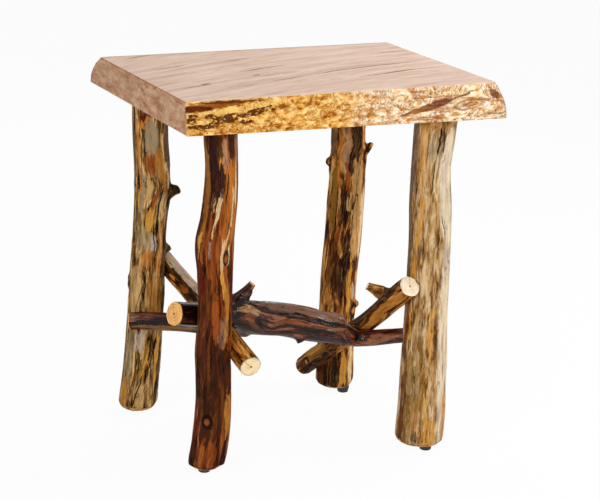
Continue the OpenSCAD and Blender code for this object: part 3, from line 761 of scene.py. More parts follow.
# %% Front left leg
chestnut = log_facts(
    "leg_front_left", "chestnut_log", 3, ((16, 6, 2), (58, 21, 5), (112, 49, 14), (164, 92, 38)),
    flute_depth=3.0, flute_width=14, streak_width=9, streak_length=100, gloss=0.1, bark_share=-0.02,
    bark_tone="ink", shine_tone="russet", knot_tone="russet", fleck_strength=0.35,
    swells=[(172, 372, 17, 22, 4.5), (236, 262, 12, 40, 2.5), (300, 120, 14, 50, 2.0)],
    knots=[(228, 90, 6, 9, 3), (285, 361, 4, 9, 0.6)],
    cracks=[(438, 498, (262, 268), 1.1, 1.2), (300, 352, (262, 252), 0.9, 1.0),
            (160, 232, (236, 244), 0.9, 1.0)],
    bark=[(510, 558, 226, 23, "plum"), (486, 526, 219, 15, "plum"), (454, 502, 237, 20, "plum"),
          (426, 472, (219, 215), 7, "ink")],
    marks=[(372, 556, 282, 34, "orange", 0.5), (392, 540, 190, 15, "honey", 0.55),
           (494, 546, 244, 9, "gold", 0.8), (494, 553, 259, 7, "pink"),
           (390, 440, 212, 10, "russet", 0.7), (508, 558, 285, 14, "plum"), (498, 553, 313, 12, "pink"),
           # Painted highlights: the pale line at heading 307 just below, and the pale diagonal that leans
           # from heading 230 to 250 on the line after it
           (446, 504, 307, 8, "pale"), (438, 510, 284, 14, "orange", 0.6),
           (398, 470, (230, 250), 6, "pale", 0.85), (394, 456, 210, 6, "umber"),
           (428, 464, 221, 7, "tan"), (398, 442, 257, 8, "russet"), (402, 470, 291, 6, "pale", 0.8),
           (336, 404, (266, 284), 6, "pale", 0.75), (292, 348, (284, 267), 6, "gold"),
           (378, 452, 312, 14, "orange", 0.7), (350, 380, 295, 4, "pale"),
           # The lilac spot at heading 228 just below carries that painted highlight on down the leg
           (364, 394, 228, 6, "lilac", 0.6), (322, 356, 310, 15, "umber"), (364, 394, 182, 18, "gold"),
           (286, 366, 187, 20, "oxblood"), (222, 300, 190, 16, "umber", 0.8), (328, 354, 210, 6, "ink"),
           (298, 400, 243, 18, "russet", 0.5), (235, 332, 222, 18, "umber", 0.7),
           (233, 304, 251, 11, "russet"), (266, 304, 266, 5, "oxblood"), (222, 322, 292, 8, "honey"),
           (213, 266, 276, 14, "pink", 0.45), (158, 232, 208, 18, "chestnut"),
           (60, 232, 240, 50, "umber", 0.75), (100, 160, 235, 30, "ink", 0.5),
           (148, 216, 290, 18, "umber"), (128, 182, 180, 14, "ink"), (66, 138, 303, 13, "honey"),
           (52, 84, 222, 17, "umber"), (12, 56, 250, 24, "russet", 0.5), (8, 62, 188, 15, "ink", 0.8),
           (380, 556, 60, 50, "russet", 0.5), (20, 200, (90, 60), 30, "umber", 0.6)])
make_log(chestnut, upright)

# %% [markdown]
# ### The front right leg
# The thickest leg is pale and almost straight, with a golden streak on its left, a dark groove near the
# top and many small dark flecks. It stands nearest to the light from the right, so it is the brightest.
# Ash marks paint shade down its left side, and its cream right side is partly pale wood, partly painted
# light.

# %% Front right leg
pale = log_facts(
    "leg_front_right", "pale_log", 11, ((96, 62, 28), (154, 112, 62), (188, 150, 98), (214, 184, 140)),
    flute_depth=1.0, flute_width=22, bark_share=-0.02, bark_tone="olive", bark_strength=0.6,
    fleck_share=0.02, fibre_strength=0.22, shine_tone="cream",
    cracks=[(496, 549, 254, 2.0, 2.0), (436, 494, (243, 250), 1.0, 1.0), (498, 547, (270, 262), 0.7, 0.8),
            (328, 372, 264, 1.0, 1.0), (366, 407, (288, 270), 0.8, 0.8), (90, 132, (250, 246), 0.8, 0.8)],
    # Painted shade: the two ash marks round heading 170 on the next line darken the leg's left side, away
    # from the light
    marks=[(430, 556, 172, 23, "ash"), (470, 553, 262, 5, "umber", 0.6), (270, 450, 164, 18, "ash"),
           # The cream marks at headings 286 to 303, here and two lines on, are partly pale wood and partly
           # painted light on the side facing the light
           (372, 548, (286, 290), 26, "cream", 0.6), (438, 553, 211, 11, "gold", 0.5),
           (488, 527, 238, 13, "grey", 0.6), (540, 558, 243, 60, "honey", 0.6),
           (8, 400, 303, 28, "cream", 0.5), (338, 442, (200, 222), 7, "gold"),
           (286, 346, (192, 200), 8, "gold"), (378, 442, 259, 9, "honey", 0.5),
           (143, 262, 184, 8, "chestnut"), (186, 264, 196, 5, "gold"), (166, 252, 256, 9, "gold", 0.7),
           (146, 227, (236, 228), 4, "ash", 0.8), (110, 137, 216, 6, "umber"), (80, 100, 201, 5, "umber"),
           (58, 152, 247, 4, "gold", 0.8), (38, 78, 222, 13, "orange", 0.65), (23, 44, 225, 9, "ink"),
           (9, 62, 257, 18, "gold", 0.75), (12, 48, 190, 14, "umber"), (16, 104, 308, 12, "honey", 0.75),
           (8, 160, 203, 26, "olive", 0.7), (14, 136, 186, 11, "chestnut", 0.8),
           (60, 200, 232, 12, "olive", 0.6), (40, 320, (60, 90), 35, "honey", 0.4),
           (360, 540, (110, 100), 25, "ash", 0.6)])
make_log(pale, upright)

# %% [markdown]
# ### The back left leg
# A grey tan leg: thin grey bark at the top and down its left, golden wood where that has come off, a
# pruned stub that points right, a dark furrow beside it, and long cracks low down.

# %% Back left leg
grey_tan = log_facts(
    "leg_back_left", "grey_tan_log", 23, ((28, 16, 6), (120, 82, 41), (172, 132, 78), (220, 184, 128)),
    flute_depth=1.4, bark_share=0.04, bark_tone="ash", fleck_tone="ink", fibre_strength=0.3,
    knots=[(333, 388, 11, 19, 2.0), (160, 232, 6, 9, 3)],
    cracks=[(428, 500, (212, 222), 1.0, 1.2), (316, 414, (269, 277), 2.4, 2.8),
            (286, 334, (262, 258), 1.2, 1.4), (176, 244, (206, 241), 0.8, 1.0),
            (66, 149, (264, 289), 1.7, 2.2), (9, 80, (227, 256), 1.4, 1.8)],
    bark=[(462, 512, 253, 23, "grey"), (60, 150, 200, 15, "grey", 0.6)],
    marks=[(400, 520, 174, 12, "ash"), (382, 508, 204, 5, "orange"), (328, 390, 203, 9, "gold"),
           (424, 460, 246, 16, "russet"), (404, 474, 276, 14, "honey"), (435, 522, 313, 17, "ash"),
           # The pale mark at heading 301 just below paints a highlight on the leg's right side
           (402, 444, 301, 8, "pale"), (350, 427, 214, 8, "grey"), (380, 430, 232, 8, "tan"),
           (370, 403, 253, 7, "russet"), (333, 370, (240, 248), 14, "gold"), (338, 370, 199, 10, "ash"),
           (296, 343, 222, 26, "grey", 0.6), (293, 327, 255, 10, "lilac"),
           (265, 297, 245, 18, "orange", 0.65), (248, 347, 283, 9, "orange", 0.6),
           (240, 335, 312, 20, "ink", 0.85), (180, 268, 207, 26, "tan", 0.6),
           (178, 252, 272, 26, "honey", 0.6), (176, 230, 318, 13, "umber"),
           (116, 153, 232, 17, "lilac", 0.8), (72, 130, (249, 262), 7, "gold"), (58, 143, 295, 6, "gold"),
           (13, 120, 315, 16, "ink", 0.85), (13, 86, (211, 233), 6, "chestnut"),
           (74, 142, (244, 263), 5, "olive"), (10, 62, 192, 13, "honey"), (10, 62, 252, 13, "tan"),
           (516, 534, 225, 20, "oxblood"), (505, 519, 226, 25, "orange"),
           (300, 540, (60, 90), 40, "ash", 0.6), (30, 260, (30, 60), 30, "honey", 0.5)])
make_log(grey_tan, upright)

# %% [markdown]
# ### The back right leg
# Brown, with a purple-black streak of bark that wanders down its front, golden wood on its right and
# three pruned knots with orange hearts.

# %% Back right leg
brown = log_facts(
    "leg_back_right", "brown_log", 37, ((38, 17, 7), (108, 61, 23), (162, 102, 46), (220, 166, 98)),
    flute_depth=1.4, bark_share=0.04, bark_tone="plum", fleck_tone="ink",
    knots=[(157, 413, 10, 13, 2), (326, 430, 10, 14, 2), (300, 153, 8, 11, 2)],
    cracks=[(336, 368, 266, 0.9, 1.0), (286, 333, 268, 0.9, 1.0), (500, 552, (240, 236), 1.0, 1.2)],
    bark=[(426, 490, 268, 18, "plum"), (392, 440, 258, 7, "plum"), (308, 395, (243, 231), 9, "plum"),
          (330, 368, (250, 285), 6, "plum"), (218, 300, 257, 11, "plum"),
          (176, 262, (244, 254), 18, "plum")],
    marks=[(428, 484, 187, 13, "ash"), (378, 484, 215, 6, "orange"), (280, 424, 206, 7, "olive"),
           (402, 500, 232, 11, "tan", 0.6), (402, 480, 243, 9, "pink", 0.7),
           (366, 420, (247, 245), 7, "russet"), (340, 368, 252, 7, "tan"),
           # The pale mark at heading 308 paints highlights along the leg's right edge
           (248, 434, 281, 19, "tan", 0.7), (246, 374, 308, 13, "pale"), (298, 404, 198, 6, "olive"),
           (266, 303, 223, 8, "russet"), (178, 264, 225, 7, "umber"), (162, 254, 205, 7, "honey"),
           (146, 252, 275, 6, "gold"), (8, 62, 207, 8, "ink"), (8, 66, (236, 232), 13, "ink"),
           (13, 88, 216, 5, "russet"), (13, 84, 265, 10, "gold"), (12, 90, 295, 10, "pale"),
           # The lilac mark at heading 293 paints the highlight above the low knot on the right
           (12, 48, 192, 13, "chestnut"), (173, 198, 293, 8, "lilac"), (90, 150, 255, 20, "russet", 0.6),
           (480, 556, 250, 60, "umber", 0.6), (40, 300, (80, 60), 30, "umber", 0.5),
           (60, 150, 222, 26, "umber", 0.8), (20, 110, 205, 12, "ink", 0.7),
           (20, 100, (250, 256), 5, "ink"), (190, 300, (205, 212), 9, "umber", 0.7)])
make_log(brown, upright)

# %% [markdown]
# ### The forked stretcher
# A dark branch with its smooth bark on: maroon-brown under a high gloss. Its prongs, its pruned twig and
# its thin end are one piece of wood, so they are traced as three paths on one skin. Marks on the back
# prong count from 3000 mm and marks on the twig from 6000 mm, so that each path's marks have places of
# their own.

# %% Forked stretcher
dark = log_facts(
    "main_stretcher", "dark_branch", 51, ((8, 4, 3), (38, 17, 9), (86, 43, 24), (150, 96, 68)),
    voxel=1.5, seam=-30.0, flute_depth=1.6, flute_width=13, facet_depth=0.4, fibre_depth=0.15,
    streak_width=10, streak_length=80, gloss=0.42, roughness=0.16, bark_share=0.02, bark_tone="ink",
    fleck_tone="ink", shine_tone="russet", fleck_strength=0.5, fibre_strength=0.2, outline=0.6, rim=19,
    cracks=[(146, 234, 145, 1.6, 2.0), (211, 266, 157, 2.6, 3.0), (260, 349, 150, 1.7, 2.0),
            (170, 300, (205, 215), 1.2, 1.4), (3010, 3120, (170, 160), 1.2, 1.4)],
    # The pink mark round heading 117 paints a sheen along the top of the trunk
    marks=[(148, 352, 117, 23, "pink", 0.4), (190, 270, 172, 8, "russet", 0.7),
           (138, 234, 230, 28, "umber", 0.8), (150, 360, 262, 34, "ink", 0.7),
           (345, 456, 95, 32, "oxblood", 0.6), (3000, 3150, 120, 20, "oxblood", 0.8),
           (3000, 3150, 202, 13, "olive", 0.8), (-80, 116, 150, 300, "ink"),
           (120, 154, 157, 20, "tan", 0.7), (124, 150, 187, 15, "russet", 0.6),
           (5990, 6016, 345, 60, "orange", 0.8), (6010, 6030, 310, 26, "ink")],
    end_tones=((240, 188, 112), (196, 112, 42), (110, 56, 14)), end_check=60)
fork_tips = [((-0.941, -0.252, 0.225), 0.5), ((-0.86, 0.5, -0.12), 0.12),
             ((0.57, -0.15, 0.78), 0.03, (0, 0, 1))]
make_log(dark, fork_tips)

# %% [markdown]
# ### The cross stretchers
# Two peeled branches, golden to orange brown. On top of the left one's back end, lilac marks paint a
# sheen. The right one keeps charcoal bark along its upper side, and forks into a short pruned twig.

# %% Cross stretchers
left_golden = log_facts(
    "left_cross_stretcher", "golden_branch", 67,
    ((44, 18, 4), (112, 58, 18), (164, 100, 38), (218, 160, 84)),
    voxel=1.4, seam=-90.0, flute_depth=1.0, flute_width=12, facet_depth=0.8, bark_share=0.0,
    cracks=[(10, 190, 95, 1.0, 1.2)], rim=15,
    marks=[(0, 232, 27, 9, "umber"), (0, 200, 60, 15, "orange", 0.5), (0, 200, 112, 9, "honey", 0.7),
           # The two lilac marks on this line paint a sheen along the top of the branch's back half
           (222, 366, 102, 28, "lilac", 0.8), (200, 356, 36, 40, "ink"), (212, 346, 74, 11, "lilac"),
           (288, 311, 20, 12, "orange"), (240, 272, 20, 18, "russet"), (304, 336, 56, 7, "pale", 0.8)],
    end_tones=((248, 230, 186), (222, 176, 112), (150, 88, 30)), end_check=40)
make_log(left_golden, [((-0.013, -0.984, -0.177), 0.6)])

right_golden = log_facts(
    "right_cross_stretcher", "golden_branch", 79,
    ((40, 18, 4), (108, 58, 18), (168, 106, 40), (216, 152, 74)),
    voxel=1.4, seam=-120.0, flute_depth=1.0, flute_width=12, facet_depth=0.9, bark_share=0.04,
    bark_tone="charcoal", rim=17, knots=[(-15, 372, 6, 7, 1.2)],
    bark=[(4, 196, 32, 36, "charcoal"), (296, 330, 70, 24, "charcoal")],
    marks=[(4, 236, -42, 28, "honey", 0.8), (116, 194, -20, 10, "umber"),
           (296, 386, 32, 24, "gold", 0.75), (286, 406, -15, 14, "olive", 0.75),
           (286, 412, (-70, -62), 34, "ink"), (372, 412, -20, 40, "umber", 0.8)],
    end_tones=((250, 236, 212), (228, 188, 142), (196, 100, 36)), end_check=100)
make_log(right_golden, [((0.03, -0.8, 0.6), 0.6), ((-0.8, 0.5, 0.31), 0.03, (-1, 0, 0))])

# %% [markdown]
# ## The slab
# The top is one thick board with its two long edges left as they grew. Its section bulges outwards from
# the top face down to the underside. The skin is built ring by ring along the board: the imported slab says
# how far each edge stands out, and a rule rounds it, so the edge has points close enough to be carved.

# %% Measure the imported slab
slab_low, slab_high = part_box("tabletop")
slab_thick = slab_high.z - slab_low.z
slab_half = (slab_high.x - slab_low.x) / 2
slab_tree = BVHTree.FromPolygons(
    [v.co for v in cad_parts["tabletop"].data.vertices],
    [list(face.vertices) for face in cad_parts["tabletop"].data.polygons])
print("slab:", round(slab_half * 2 / mm), "mm long and", round(slab_thick / mm), "mm thick")


def edge_at(x, depth, side):
    """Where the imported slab's live edge is, at a place along it and a depth below its top."""
    start = Vector((x, side, slab_high.z - depth))
    hit = slab_tree.ray_cast(start, Vector((0, -side, 0)))[0]
    return hit.y


# %% One section of the slab
# How many rings the slab's skin has, and how many points a ring has on each face
stations = 500
edge_levels = 46
back_levels = 26
flat_points = 30
# The first ring stands this far in from the sawn end
bevel = 1.2 * mm
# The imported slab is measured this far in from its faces
probe = 0.2 * mm
# Below this share of its depth the edge stands straight
full_share = 0.92


def bulge(share):
    """How far out the live edge has come at a share of its depth, where 1 is all the way."""
    return min(1.0, (1 - (1 - share) ** 2.2) / (1 - (1 - full_share) ** 2.2))


def slab_ring(x):
    """One section of the slab: the front edge from the bottom up, over the top, and down the back."""
    inner = max(-slab_half + probe, min(slab_half - probe, x))
    front_top, back_top = edge_at(inner, probe, -1), edge_at(inner, probe, 1)
    front_out = edge_at(inner, slab_thick * full_share, -1) - front_top
    back_out = edge_at(inner, slab_thick * full_share, 1) - back_top
    ring = []
    for level in range(edge_levels + 1):
        share = 1 - level / edge_levels
        ring.append((front_top + front_out * bulge(share), share, 1.0))
    for step in range(1, flat_points):
        ring.append((front_top + (back_top - front_top) * step / flat_points, 0.0, 0.0))
    for level in range(back_levels + 1):
        share = level / back_levels
        ring.append((back_top + back_out * bulge(share), share, 1.0))
    last_y = ring[-1][0]
    for step in range(1, flat_points):
        ring.append((last_y + (ring[0][0] - last_y) * step / flat_points, 1.0, 0.0))
    return np.array(ring)


# %% Build the slab's skin
# The rings that close a sawn end, as steps inwards from its outline
end_insets = [bevel, 3 * mm, 8 * mm, 14 * mm, 20 * mm, slab_thick / 2 - 0.5 * mm]


def drawn_in(ring, inset):
    """A ring of the slab's outline, drawn in evenly towards the end's long middle line."""
    middle_z = (slab_high.z + slab_low.z) / 2
    middle_y = (ring[:, 1].max() + ring[:, 1].min()) / 2
    half_y = (ring[:, 1].max() - ring[:, 1].min()) / 2
    moved = ring.copy()
    moved[:, 1] = middle_y + (ring[:, 1] - middle_y) * (1 - inset / half_y)
    moved[:, 2] = middle_z + (ring[:, 2] - middle_z) * (1 - inset / (slab_thick / 2))
    return moved


def slab_skin():
    mesh = bpy.data.meshes.new("slab")
    places = [-slab_half, *np.linspace(-slab_half + bevel, slab_half - bevel, stations), slab_half]
    rings = [slab_ring(x) for x in places]
    points = [np.stack([np.full(len(ring), x), ring[:, 0], slab_high.z - ring[:, 1] * slab_thick], 1)
              for x, ring in zip(places, rings)]
    live = [ring[:, 2] for ring in rings]
    start = [drawn_in(points[0], inset) for inset in end_insets]
    finish = [drawn_in(points[-1], inset) for inset in end_insets]
    points = start[::-1] + points[1:-1] + finish
    live = [live[0]] * len(start) + live[1:-1] + [live[-1]] * len(finish)
    count = len(points[0])
    faces = []
    for i in range(len(points) - 1):
        for j in range(count):
            k = (j + 1) % count
            faces.append((i * count + j, (i + 1) * count + j, (i + 1) * count + k, i * count + k))
    last = (len(points) - 1) * count
    faces.append(tuple(range(count)))
    faces.append(tuple(range(last + count - 1, last - 1, -1)))
    rest = np.concatenate(points)
    print("slab skin: rings", len(points), "of", count, "points")
    mesh.from_pydata(rest.tolist(), [], faces)
    store(mesh, "rest", rest)
    store(mesh, "live", np.concatenate(live))
    return mesh


# %% [markdown]
# ### Rules for the live edge
# Under the bark, beetles ate tracks and the wood kept its hollows. Left to right there is a brown hollow
# under the rim, a long pale ridge, a chewed stretch, a fine net of tracks, a wedge-shaped scar, a long
# ringed scar and a knot. The same masks carve the edge in Geometry Nodes and stain it in the material.

# %% Rules of the live edge
class EdgePlace(Surface):
    """A point of the slab: x along it, y across it, and depth below the top face."""

    def __init__(self, bench):
        self.bench = bench
        self.rest = bench.attribute("rest", vector=True)
        self.x, self.y, z = bench.parts(self.rest)
        self.depth = slab_high.z - z
        self.front = 1 - bench.step(self.y, -20 * mm, 20 * mm)
        self.flat = bench.joined(self.x, self.depth, self.front)
        torn = self.cloud(11, 5, 8, 4.0, 0.62, out=1)
        x_shift, depth_shift, _ = bench.parts(torn)
        self.torn_x = self.x + (x_shift - 0.5) * (22 * mm)
        self.torn_depth = self.depth + (depth_shift - 0.5) * (7 * mm)

    def stretched(self, long, tall):
        return self.bench.scaled(self.flat, (1 / (long * mm), 1 / (tall * mm), 5.0))

    def lens(self, x, depth, half_long, half_tall, slope=0.0, taper=0.0):
        """Distance from the middle of a torn lens, where 1 is its rim and a taper thins its left end."""
        along = (self.torn_x - x * mm) / (half_long * mm)
        over = self.torn_depth - depth * mm + (self.torn_x - x * mm) * slope
        over = over / ((along * taper + 1) * (half_tall * mm))
        return (along * along + over * over) ** 0.5

    def blot(self, *facts):
        """A mask for the inside of such a lens, on the front edge only."""
        return (1 - self.bench.step(self.lens(*facts), 0.75, 1.1)) * self.front

    def tracks(self, long, tall, seed, width):
        """Thin winding lines, where a cloud crosses its middle value."""
        bench = self.bench
        cloud = self.cloud(long, tall, seed, 2.0, 0.5, 0.6)
        return 1 - bench.step(abs(cloud - 0.5), width * 0.3, width)


# %% The marks on the live edges
# Torn blots on the front edge: x, depth, half-length and half-height in mm, then a slope and a taper
edge_blots = {"ridge": (-188, 15, 92, 4.6, 0.11), "hollow": (-222, 8, 58, 4.6, 0.06, -0.4),
              "deep": (-246, 11.5, 30, 4.6, 0.02, -0.3), "rim": (-198, 3, 66, 1.5),
              "groove": (196, 12, 30, 1.3, 0.2), "knot": (251, 13, 9, 7)}
# The clusters of the chewed stretch, as such blots
chewed_clusters = [(-200, 27, 30, 7, 0.15), (-150, 19, 30, 5, 0.2), (-254, 26, 9, 8), (-226, 23, 9, 4),
                   (-236, 38, 28, 4), (-172, 33, 14, 4)]


def gouges(place):
    """Scoops and ridges a finger's breadth long, most of them between 0.35 and 0.65."""
    return place.cloud(13, 6.5, 52, 4.0, 0.6, 0.6)


def edge_masks(place):
    """The marks on the live edges, each from 0 to 1."""
    bench = place.bench
    masks = {name: place.blot(*facts) for name, facts in edge_blots.items()}
    chew_cloud = place.cloud(8, 4.5, 21, 4.0, 0.65, 0.5)
    chewed = place.blot(*chewed_clusters[0])
    for cluster in chewed_clusters[1:]:
        chewed = bench.most(chewed, place.blot(*cluster))
    masks["chewed"] = bench.step(chew_cloud + chewed * 0.2, 0.62, 0.66)
    net = bench.most(place.tracks(13, 9, 31, 0.04), place.tracks(6, 6, 32, 0.05))
    worn = bench.step(place.cloud(34, 18, 33, 3.0), 0.4, 0.54)
    masks["tracks"] = net * worn
    slanted = bench.joined(place.x + place.depth * 0.9, place.depth, place.front)
    strokes = bench.noise(bench.scaled(slanted, (1 / (2.6 * mm), 1 / (9 * mm), 5.0)), 34, 2.0)
    masks["strokes"] = bench.step(strokes, 0.57, 0.64) * worn
    scar = place.lens(128, 27, 54, 5.4, 0.24, 0.6)
    masks["banks"] = bench.band(scar - 1.4, 0.15, 0.3) * place.front
    masks["scar"] = (1 - bench.step(scar, 0.75, 1.0)) * place.front
    rings = place.lens(203, 25, 27, 7.0, 0.16)
    outer_ring, inner_ring = bench.band(rings - 0.95, 0.08, 0.22), bench.band(rings - 0.35, 0.1, 0.2)
    masks["rings"] = bench.most(outer_ring, inner_ring) * place.front
    drawn_out = bench.moved(place.stretched(80, 5), (0.0, 0.0, 3.0))
    long_grooves = bench.noise(drawn_out, 41, 3.0, 0.5, 0.3)
    masks["grooves"] = bench.step(long_grooves, 0.54, 0.6) * bench.step(place.x, 50 * mm, 120 * mm)
    return masks


# %% The live edges' relief
# How far each mark stands out or lies in, in mm
edge_depths = {"hollow": -3.2, "deep": -2.0, "rim": -1.0, "chewed": -2.2, "tracks": -0.9, "strokes": -0.9,
               "banks": 1.2, "scar": -3.0, "rings": -1.5, "groove": -1.2, "grooves": -1.5, "knot": 0.8}


def edge_relief(place, masks):
    """How far the live edge stands out, in metres."""
    bench = place.bench
    rolls = place.cloud(50, 16, 51, 3.0)
    out = (rolls - 0.64) * (8 * mm) + (gouges(place) - 0.62) * (11 * mm)
    out = out * (1 - masks["ridge"] * 0.8) - masks["ridge"] * (0.4 * mm)
    for name, depth in edge_depths.items():
        out = out + masks[name] * (depth * mm)
    fade = bench.step(place.depth, 0.0, 3 * mm) * bench.step(slab_thick - place.depth, 0.0, 2 * mm)
    return bench.least(out, 0.0) * fade


# %% Carve the slab
slab_bench = carving_bench("carve the slab")
slab_place = EdgePlace(slab_bench)
slab_out = edge_relief(slab_place, edge_masks(slab_place)) * slab_bench.attribute("live")
# The edges move across the board and up or down, never along it, so the sawn ends stay flat
slab_normal = slab_bench.scaled(slab_bench.node("GeometryNodeInputNormal", {}, {}), (0.0, 1.0, 1.0))

# %% [markdown]
# ### The slab's wood
# Three faces, three looks: the flat top is a pinkish tan with thin grey streaks, the live edges are
# golden with brown marks, and the sawn ends are mottled end grain. Masks decide which look shows where.
# The top's grain runs a little slanted to the board, more so on the left, so its patterns count across
# that slant.

# %% The top's colour
# The slant of the grain in the middle of the board, and how much it eases for each metre to the right
grain_slant = 0.3
slant_ease = 0.28
# Dark streaks on the top: the middle's x and y, half a length and half a width, in mm
top_streaks = [(-204, 156, 26, 1.7), (-184, 64, 36, 2.0), (-61, 91, 26, 1.6), (-48, 14, 52, 1.9),
               (-205, -86, 30, 2.2), (-46, -68, 32, 1.8), (105, -22, 128, 2.0), (155, -66, 90, 1.9),
               (225, 92, 34, 1.7), (-81, -30, 8, 2.6), (-186, -72, 9, 3.2)]


def across_grain(x, y):
    """How far a place on the top lies to the side of the grain line through its middle."""
    return y - x * grain_slant + x * x * slant_ease


def top_colour(place):
    bench = place.bench
    flow = bench.noise(bench.scaled(place.rest, (6.0, 22.0, 3.0)), 61, 3.0) - 0.5
    over = across_grain(place.x, place.y) + flow * (22 * mm)
    grain = bench.joined(place.x, over, 0.0)

    def streaky(along, across, seed, *look):
        """Noise with so many blots to the metre along the grain and across it."""
        return bench.noise(bench.scaled(grain, (along, across, 1.0)), seed, *look)

    broad, fine = streaky(5.0, 60.0, 62, 4.0, 0.6), streaky(22.0, 420.0, 63, 3.0, 0.6)
    tone = bench.ramp(broad * 0.7 + fine * 0.5 - 0.1, [
        (0.38, (198, 166, 146)), (0.47, (214, 186, 167)), (0.6, (226, 201, 184))])
    dashes, crowd = streaky(20.0, 400.0, 65, 2.0), streaky(7.0, 20.0, 66, 2.0)
    tone = bench.blend(bench.step(dashes + (crowd - 0.5) * 0.4, 0.64, 0.7) * 0.6, tone, paint(138, 104, 88))
    ragged = (streaky(70.0, 300.0, 67, 3.0, 0.6) - 0.5) * 1.6
    for x, y, long, wide in top_streaks:
        along = (place.x - x * mm) / (long * mm)
        side = (over - across_grain(x * mm, y * mm)) / (wide * mm)
        gap = along * along + side * side + ragged
        tone = bench.blend((1 - bench.step(gap, 0.4, 1.4)) * 0.85, tone, paint(122, 90, 76))
    return tone


# %% The live edges' colour
# How strongly each mark colours the edge, and with what
edge_stains = [("tracks", 0.55, (158, 92, 30)), ("strokes", 0.65, (140, 78, 24)),
               ("grooves", 0.7, (176, 108, 50)), ("hollow", 0.9, (150, 78, 26)),
               ("deep", 0.9, (96, 36, 8)), ("rim", 0.9, (88, 40, 10)),
               ("chewed", 0.94, (86, 38, 12)), ("rings", 0.6, (150, 92, 38)),
               ("groove", 0.85, (120, 66, 26)), ("scar", 0.92, (118, 52, 20)),
               ("knot", 0.85, (112, 62, 44))]


def live_colour(place, masks):
    bench = place.bench
    cloud = place.cloud(22, 10, 71, 4.0, 0.6, 0.4)
    fine = place.cloud(5, 3, 72, 3.0, 0.6)
    mixed = gouges(place) * 0.75 + cloud * 0.35 + fine * 0.15 - 0.125
    gold = bench.ramp(mixed, [(0.4, (156, 88, 26)), (0.45, (214, 150, 62)),
                              (0.51, (234, 178, 90)), (0.59, (252, 216, 142))])
    cream = bench.ramp(mixed, [(0.4, (196, 136, 78)), (0.45, (228, 182, 124)),
                               (0.5, (246, 216, 172)), (0.57, (254, 242, 222))])
    tone = bench.blend(bench.step(place.x, -40 * mm, 80 * mm), gold, cream)
    tone = bench.blend(masks["ridge"] * (fine * 0.5 + 0.65), tone, paint(244, 198, 112))
    tone = bench.blend(masks["banks"] * 0.7, tone, paint(252, 228, 184))
    for name, strength, colour in edge_stains:
        tone = bench.blend(masks[name] * strength, tone, paint(*colour))
    scar_tail = masks["scar"] * (1 - bench.step(place.x, 100 * mm, 150 * mm))
    return bench.blend(scar_tail * (fine * 0.8 + 0.2), tone, paint(196, 132, 72))


# %% The sawn ends' colour
def end_colour(place):
    bench = place.bench
    across = bench.joined(0.0, place.y, place.depth)
    mottle = bench.noise(bench.scaled(across, (1.0, 30.0, 64.0)), 81, 5.0, 0.68, 0.3)
    tone = bench.ramp(mottle, [(0.38, (160, 114, 84)), (0.47, (182, 140, 109)),
                               (0.55, (194, 155, 125)), (0.66, (212, 178, 150))])
    spots = bench.noise(bench.scaled(across, (1.0, 60.0, 160.0)), 83, 3.0)
    tone = bench.blend(bench.step(spots, 0.6, 0.68) * 0.6, tone, paint(128, 58, 24))
    rim = 1 - bench.step(place.depth, 0.6 * mm, 2.2 * mm)
    return bench.blend(rim * 0.85, tone, paint(158, 66, 20))


# %% Slab wood
def slab_wood():
    material = bpy.data.materials.new("slab_wood")
    bench = cleared_bench(material)
    place = EdgePlace(bench)
    masks = edge_masks(place)
    live = bench.step(bench.attribute("live"), 0.3, 0.7) * bench.step(place.depth, 0.2 * mm, 0.9 * mm)
    end = bench.step(abs(place.x), slab_half - 0.9 * mm, slab_half - 0.3 * mm)
    colour = bench.blend(live, top_colour(place), live_colour(place, masks))
    colour = bench.blend(end, colour, end_colour(place))
    pores = bench.noise(bench.scaled(place.rest, (60.0, 900.0, 200.0)), 91, 2.0)
    chips = place.cloud(3, 2, 92, 4.0, 0.65) - masks["tracks"] * 0.5
    height = pores * 0.12 + chips * live * 0.9
    roughness = pores * 0.1 + live * 0.05 + 0.24
    varnished(bench, colour, roughness, height, 0.5 * mm, 0.04)
    return material


slab = carved(slab_bench, slab_out, slab_normal, slab_skin(), "slab", slab_wood())
dress(slab, "tabletop")

# %% [markdown]
# ## Glides and screws
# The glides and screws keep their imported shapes, which are right as they are. They get a rubber that is
# dull and a little scuffed, and two metals: zinc for the glides' screws and a black coat for the wood
# screws.

# %% Rubber and metal
def small_part(name, tone, worn_tone, metallic, roughness):
    """A plain finish with fine scuffs, on the object's own coordinates."""
    material = bpy.data.materials.new(name)
    bench = cleared_bench(material)
    place = bench.node("ShaderNodeTexCoord", {}, {}, "Object")
    scuffs = bench.noise(bench.scaled(place, (220.0, 220.0, 220.0)), 5, 4.0, 0.6)
    colour = bench.blend(bench.step(scuffs, 0.5, 0.75), tone, worn_tone)
    bump = bench.node("ShaderNodeBump", {}, {"Strength": 0.25, "Distance": 0.3 * mm, "Height": scuffs})
    values = {"Base Color": colour, "Metallic": metallic, "Normal": bump,
              "Roughness": scuffs * 0.3 + roughness}
    shader = bench.node("ShaderNodeBsdfPrincipled", {}, values)
    bench.node("ShaderNodeOutputMaterial", {}, {"Surface": shader})
    return material


finishes = {
    "glide": small_part("glide_rubber", paint(18, 18, 20), paint(44, 44, 46), 0.0, 0.35),
    "glide_screws": small_part("zinc", paint(150, 150, 154), paint(110, 110, 112), 1.0, 0.25),
    "lap_screws": small_part("black_coat", paint(30, 28, 26), paint(70, 64, 58), 0.6, 0.3),
    "long_screws": small_part("black_coat_long", paint(30, 28, 26), paint(70, 64, 58), 0.6, 0.3)}
for node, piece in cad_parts.items():
    finish = finishes.get(node) or (finishes["glide"] if node.startswith("glide") else None)
    if finish:
        piece.data.materials.clear()
        piece.data.materials.append(finish)
        print(node, "is finished in", finish.name)

